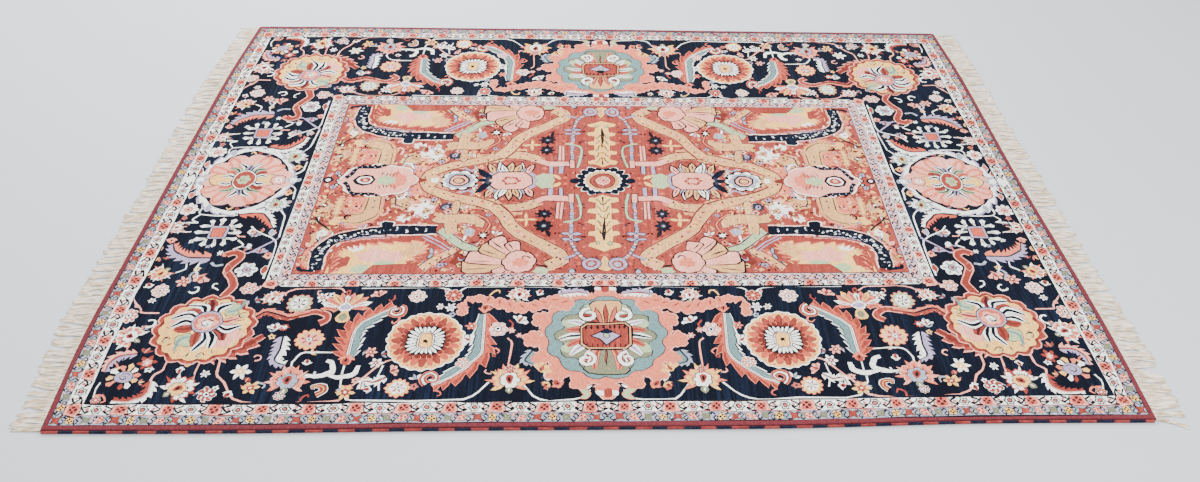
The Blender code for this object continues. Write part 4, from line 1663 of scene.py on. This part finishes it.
def round_rim(bm):
    """Carries the outline outwards and down in a small round."""
    far = (HALF_LENGTH - RIM_ROUND, PILE_HALF_WIDTH - RIM_ROUND)
    rim = [e for e in bm.edges if len(e.link_faces) == 1]
    rim = [
        e for e in rim if any(all(abs(abs(v.co[k]) - far[k]) < RIM_FOUND for v in e.verts) for k in (0, 1))
    ]
    for step in range(1, RIM_STEPS + 1):
        grown = bmesh.ops.extrude_edge_only(bm, edges=rim)["geom"]
        rim = [e for e in grown if isinstance(e, bmesh.types.BMEdge)]
        turn = math.pi / 2 * step / RIM_STEPS
        out = RIM_ROUND * math.sin(turn)
        for v in (v for v in grown if isinstance(v, bmesh.types.BMVert)):
            for k in (0, 1):
                if abs(v.co[k]) > far[k] - RIM_FOUND:
                    v.co[k] = math.copysign(far[k] + out, v.co[k])
            v.co.z = PILE_THICK - RIM_ROUND * (1 - math.cos(turn))


def close_back(bm):
    """Drops walls to the floor and closes the underside."""
    walls = bmesh.ops.extrude_edge_only(bm, edges=[e for e in bm.edges if len(e.link_faces) == 1])["geom"]
    for v in (v for v in walls if isinstance(v, bmesh.types.BMVert)):
        v.co.z = 0.0
    foot = [e for e in walls if isinstance(e, bmesh.types.BMEdge)]
    bmesh.ops.triangle_fill(bm, use_beauty=True, edges=foot, normal=(0, 0, -1))


def knotted(name, chosen, rim):
    """A piece of the cloth from some of the quarter's triangles."""
    bm = bmesh.new()
    layer = bm.faces.layers.int.new("wool_number")
    used, where = np.unique(net[chosen], return_inverse=True)
    verts = [bm.verts.new((*point, PILE_THICK)) for point in net_points[used] * TO_PLACE]
    for triangle, number in zip(where.reshape(-1, 3), net_wools[chosen]):
        bm.faces.new([verts[i] for i in triangle])[layer] = int(number)
    for axis in ("X", "Y"):
        bmesh.ops.mirror(bm, geom=bm.verts[:] + bm.edges[:] + bm.faces[:], axis=axis, merge_dist=0.00001)
    if rim:
        round_rim(bm)
    close_back(bm)
    bmesh.ops.recalc_face_normals(bm, faces=bm.faces)
    places = np.array([v.co[:] for v in bm.verts])
    stray_p, stray_q = stray(places[:, 0], places[:, 1])
    laid_x, laid_y = lie(places[:, 0] + stray_p, places[:, 1] + stray_q)
    laid_z = places[:, 2] / PILE_THICK * pile_height(laid_x, laid_y)
    for v, x, y, z in zip(bm.verts, laid_x + SHIFT[0], laid_y + SHIFT[1], laid_z):
        v.co = (x, y, z)
    numbers = np.array([f[layer] for f in bm.faces])
    open_edges = sum(len(e.link_faces) != 2 for e in bm.edges)
    mesh = bpy.data.meshes.new(name)
    bm.to_mesh(mesh)
    bm.free()
    mesh.materials.append(pile_wool)
    counts = np.array([len(p.vertices) for p in mesh.polygons])
    for layer_name, table in (("wool", WOOLS), ("skein", SKEINS)):
        dyes = np.array([wool_dye(table.get(wool, WOOLS[wool])) for wool in WOOL_ORDER])
        corners = mesh.color_attributes.new(layer_name, "FLOAT_COLOR", "CORNER")
        corners.data.foreach_set("color", np.repeat(dyes[numbers], counts, axis=0).ravel())
    obj = add_piece(name, mesh, "pile")
    print(name, "faces:", len(mesh.polygons), "open edges:", open_edges)
    return obj


middle_u, middle_v = net_points[net].mean(axis=1).T
in_border = (middle_u < seam_u) | (middle_v < seam_v)
knotted_border = knotted("knotted_border", in_border, True)
knotted_field = knotted("knotted_field", ~in_border, False)

# %% [markdown]
# The side cords. The last warps are overcast with thick yarn, coral and indigo by turns, and lie
# close beside the pile's rim. A tube with a bump would look smooth from the side, so each wrap is
# modelled: one long helix of yarn as a curve, in stretches that take their own dye.

# %% Side cords
WRAP_PITCH = 0.0034
YARN_THICK = 0.0036
BLOCK_LONG = 0.048  # of one dye
CORD_SHORT = 0.003  # of the pile's end
WRAP_STEPS = 9


def wrapped_cord(name, side, replaced):
    curve = bpy.data.curves.new(name, "CURVE")
    curve.dimensions = "3D"
    curve.bevel_depth = YARN_THICK / 2
    curve.bevel_resolution = 0
    curve.materials.append(coral_yarn)
    curve.materials.append(indigo_yarn)
    radius = (CORD_THICK - YARN_THICK) / 2
    reach = HALF_LENGTH - CORD_SHORT
    turns = int(2 * reach / WRAP_PITCH)
    angles = np.arange(turns * WRAP_STEPS) * math.tau / WRAP_STEPS
    along = -reach + WRAP_PITCH * angles / math.tau
    x, y = lie(along, np.full(len(along), side * (HALF_WIDTH - CORD_THICK / 2)))
    y = y + radius * np.cos(angles)
    z = CORD_THICK / 2 + radius * np.sin(angles)
    dye = ((along + 0.6 * WRAP_PITCH * np.sin(along * 40) + reach) / BLOCK_LONG).astype(int) % 2
    cuts = [0] + [i for i in range(1, len(dye)) if dye[i] != dye[i - 1]] + [len(dye)]
    for start, stop in zip(cuts, cuts[1:]):
        spline = curve.splines.new("POLY")
        spline.points.add(min(stop, len(dye) - 1) - start)
        spline.material_index = int(dye[start])
        for k, point in enumerate(spline.points):
            i = start + k
            point.co = (x[i] + SHIFT[0], y[i] + SHIFT[1], z[i], 1.0)
    return add_piece(name, curve, replaced)


cord_pieces = [
    wrapped_cord("overcast_front", -1, "side_cord_front"),
    wrapped_cord("overcast_back", 1, "side_cord_back"),
]
print("overcast cords:", [len(o.data.splines) for o in cord_pieces])

# %% [markdown]
# The fringes. The warps that held the rug on its loom were cut and left free, a few together.
# They lie on the floor in soft locks that drift with their neighbours. Each strand is a thin
# curve that starts in the woven strip, sinks to the floor and wanders; a hair system would need
# its own baking, and a flat card with a picture would look flat from the side.

# %% Fringes
LOCKS = 190  # at an end
STRANDS = 15  # in a lock
STRAND_THICK = 0.0032
STRAND_STEPS = 7
ROOT_CLEAR = 0.0008  # of the woven strip's edge
FRINGE_LONG = 0.09
MOST_LEAN = math.radians(5.0)


def lock_lean(q, end):
    return MOST_LEAN * (math.sin(2.3 * q + end) + 0.7 * math.sin(7.1 * q - 2.0 * end)) / 1.7


def strand(curve, root, way, length, bend, curl):
    """One warp yarn from its root: it sinks to the floor and wanders to a side."""
    spline = curve.splines.new("POLY")
    spline.points.add(STRAND_STEPS)
    x, y, z = root
    turn = way
    for k, point in enumerate(spline.points):
        t = k / STRAND_STEPS
        point.co = (x, y, max(z * (1 - t) ** 2 * 1.6, 0) + STRAND_THICK / 2, 1.0)
        point.radius = 1.0 - 0.15 * t
        turn += bend / STRAND_STEPS + curl * math.sin(2.6 * math.tau * t + 40 * root[1]) / STRAND_STEPS
        x += length / STRAND_STEPS * math.cos(turn)
        y += length / STRAND_STEPS * math.sin(turn)


def fringe(name, end, replaced):
    curve = bpy.data.curves.new(name, "CURVE")
    curve.dimensions = "3D"
    curve.bevel_depth = STRAND_THICK / 2
    curve.bevel_resolution = 0
    curve.materials.append(fringe_cotton)
    pitch = 2 * PILE_HALF_WIDTH / LOCKS
    for k in range(LOCKS):
        q = -PILE_HALF_WIDTH + pitch * (k + 0.5)
        lean = lock_lean(q, end) + random.gauss(0, 0.08)
        length = FRINGE_LONG * (1 + 0.06 * math.sin(5.7 * q + 1.3 * end) + random.gauss(0, 0.05))
        gather = random.uniform(0.4, 1.2)
        swing = random.gauss(0, 0.22)
        for s in range(STRANDS):
            share = (s + 0.5) / STRANDS - 0.5
            x, y = lie(end * (HALF_LENGTH + GAP + ROOT_CLEAR), q + share * pitch * 0.96)
            way = lean - share * 0.14 * gather + random.gauss(0, 0.035)
            way = way if end > 0 else math.pi - way
            root = (float(x) + SHIFT[0], float(y) + SHIFT[1], random.uniform(0.0008, 0.0036))
            reach = length * random.uniform(0.92, 1.05)
            strand(curve, root, way, reach, swing + random.gauss(0, 0.08), random.gauss(0, 0.35))
    return add_piece(name, curve, replaced)


fringe_pieces = [
    fringe("warp_ends_left", -1, "fringe_left"),
    fringe("warp_ends_right", 1, "fringe_right"),
]
print("strands:", [len(o.data.splines) for o in fringe_pieces])

# %% [markdown]
# The floor, the light and the camera. A pale floor and two broad soft lights show the wool's
# true colours. The camera stands where the photograph was taken from: above head height, in
# front of the middle of the long side, looking down at the rug.

# %% Floor and light
FLOOR_HALF, FLOOR_DROP = 14.0, 0.0004  # it lies this much below the rug, to share no face with it
floor_paint, tree, shader = new_material("pale matt floor")
shader.inputs["Base Color"].default_value = linear("#c6c9cd")
shader.inputs["Roughness"].default_value = 0.75
bm = bmesh.new()
bmesh.ops.create_grid(bm, x_segments=1, y_segments=1, size=FLOOR_HALF)
bmesh.ops.translate(bm, vec=Vector((0, 0, -FLOOR_DROP)), verts=bm.verts)
floor_mesh = bpy.data.meshes.new("floor")
bm.to_mesh(floor_mesh)
bm.free()
floor_mesh.materials.append(floor_paint)
floor = bpy.data.objects.new("floor", floor_mesh)
bpy.context.scene.collection.objects.link(floor)


def soft_light(name, place, aim, size, watts):
    lamp = bpy.data.lights.new(name, "AREA")
    lamp.size = size
    lamp.energy = watts
    obj = bpy.data.objects.new(name, lamp)
    obj.location = place
    obj.rotation_euler = (Vector(aim) - Vector(place)).to_track_quat("-Z", "Y").to_euler()
    bpy.context.scene.collection.objects.link(obj)


soft_light("window_light", (-1.5, 3.6, 3.6), (0, 0, 0), 4.0, 592)
soft_light("room_light", (1.5, -2.5, 4.0), (0, 0, 0), 4.5, 296)
world = bpy.data.worlds.new("studio")
world.use_nodes = True
world.node_tree.nodes["Background"].inputs["Color"].default_value = linear("#e9edf2")
world.node_tree.nodes["Background"].inputs["Strength"].default_value = 1.25
bpy.context.scene.world = world

# %% Camera
EYE = (-0.06, -2.939, 2.258)
LENS, SENSOR = 28.4, 36.0  # mm
YAW, PITCH, ROLL = (math.radians(a) for a in (-1.207, 41.17, 0.87))
side = Vector((math.cos(YAW), math.sin(YAW), 0))
ahead = Vector((-math.sin(YAW), math.cos(YAW), 0))
look = math.cos(PITCH) * ahead - math.sin(PITCH) * Vector((0, 0, 1))
rise = math.sin(PITCH) * ahead + math.cos(PITCH) * Vector((0, 0, 1))
right = math.cos(ROLL) * side + math.sin(ROLL) * rise
up = -math.sin(ROLL) * side + math.cos(ROLL) * rise
lens = bpy.data.cameras.new("camera")
lens.sensor_fit = "HORIZONTAL"
lens.sensor_width = SENSOR
lens.lens = LENS
camera = bpy.data.objects.new("camera", lens)
camera.matrix_world = (
    Matrix.Translation((EYE[0] + SHIFT[0], EYE[1] + SHIFT[1], EYE[2]))
    @ Matrix((right, up, -look)).transposed().to_4x4()
)
bpy.context.scene.collection.objects.link(camera)
bpy.context.scene.camera = camera
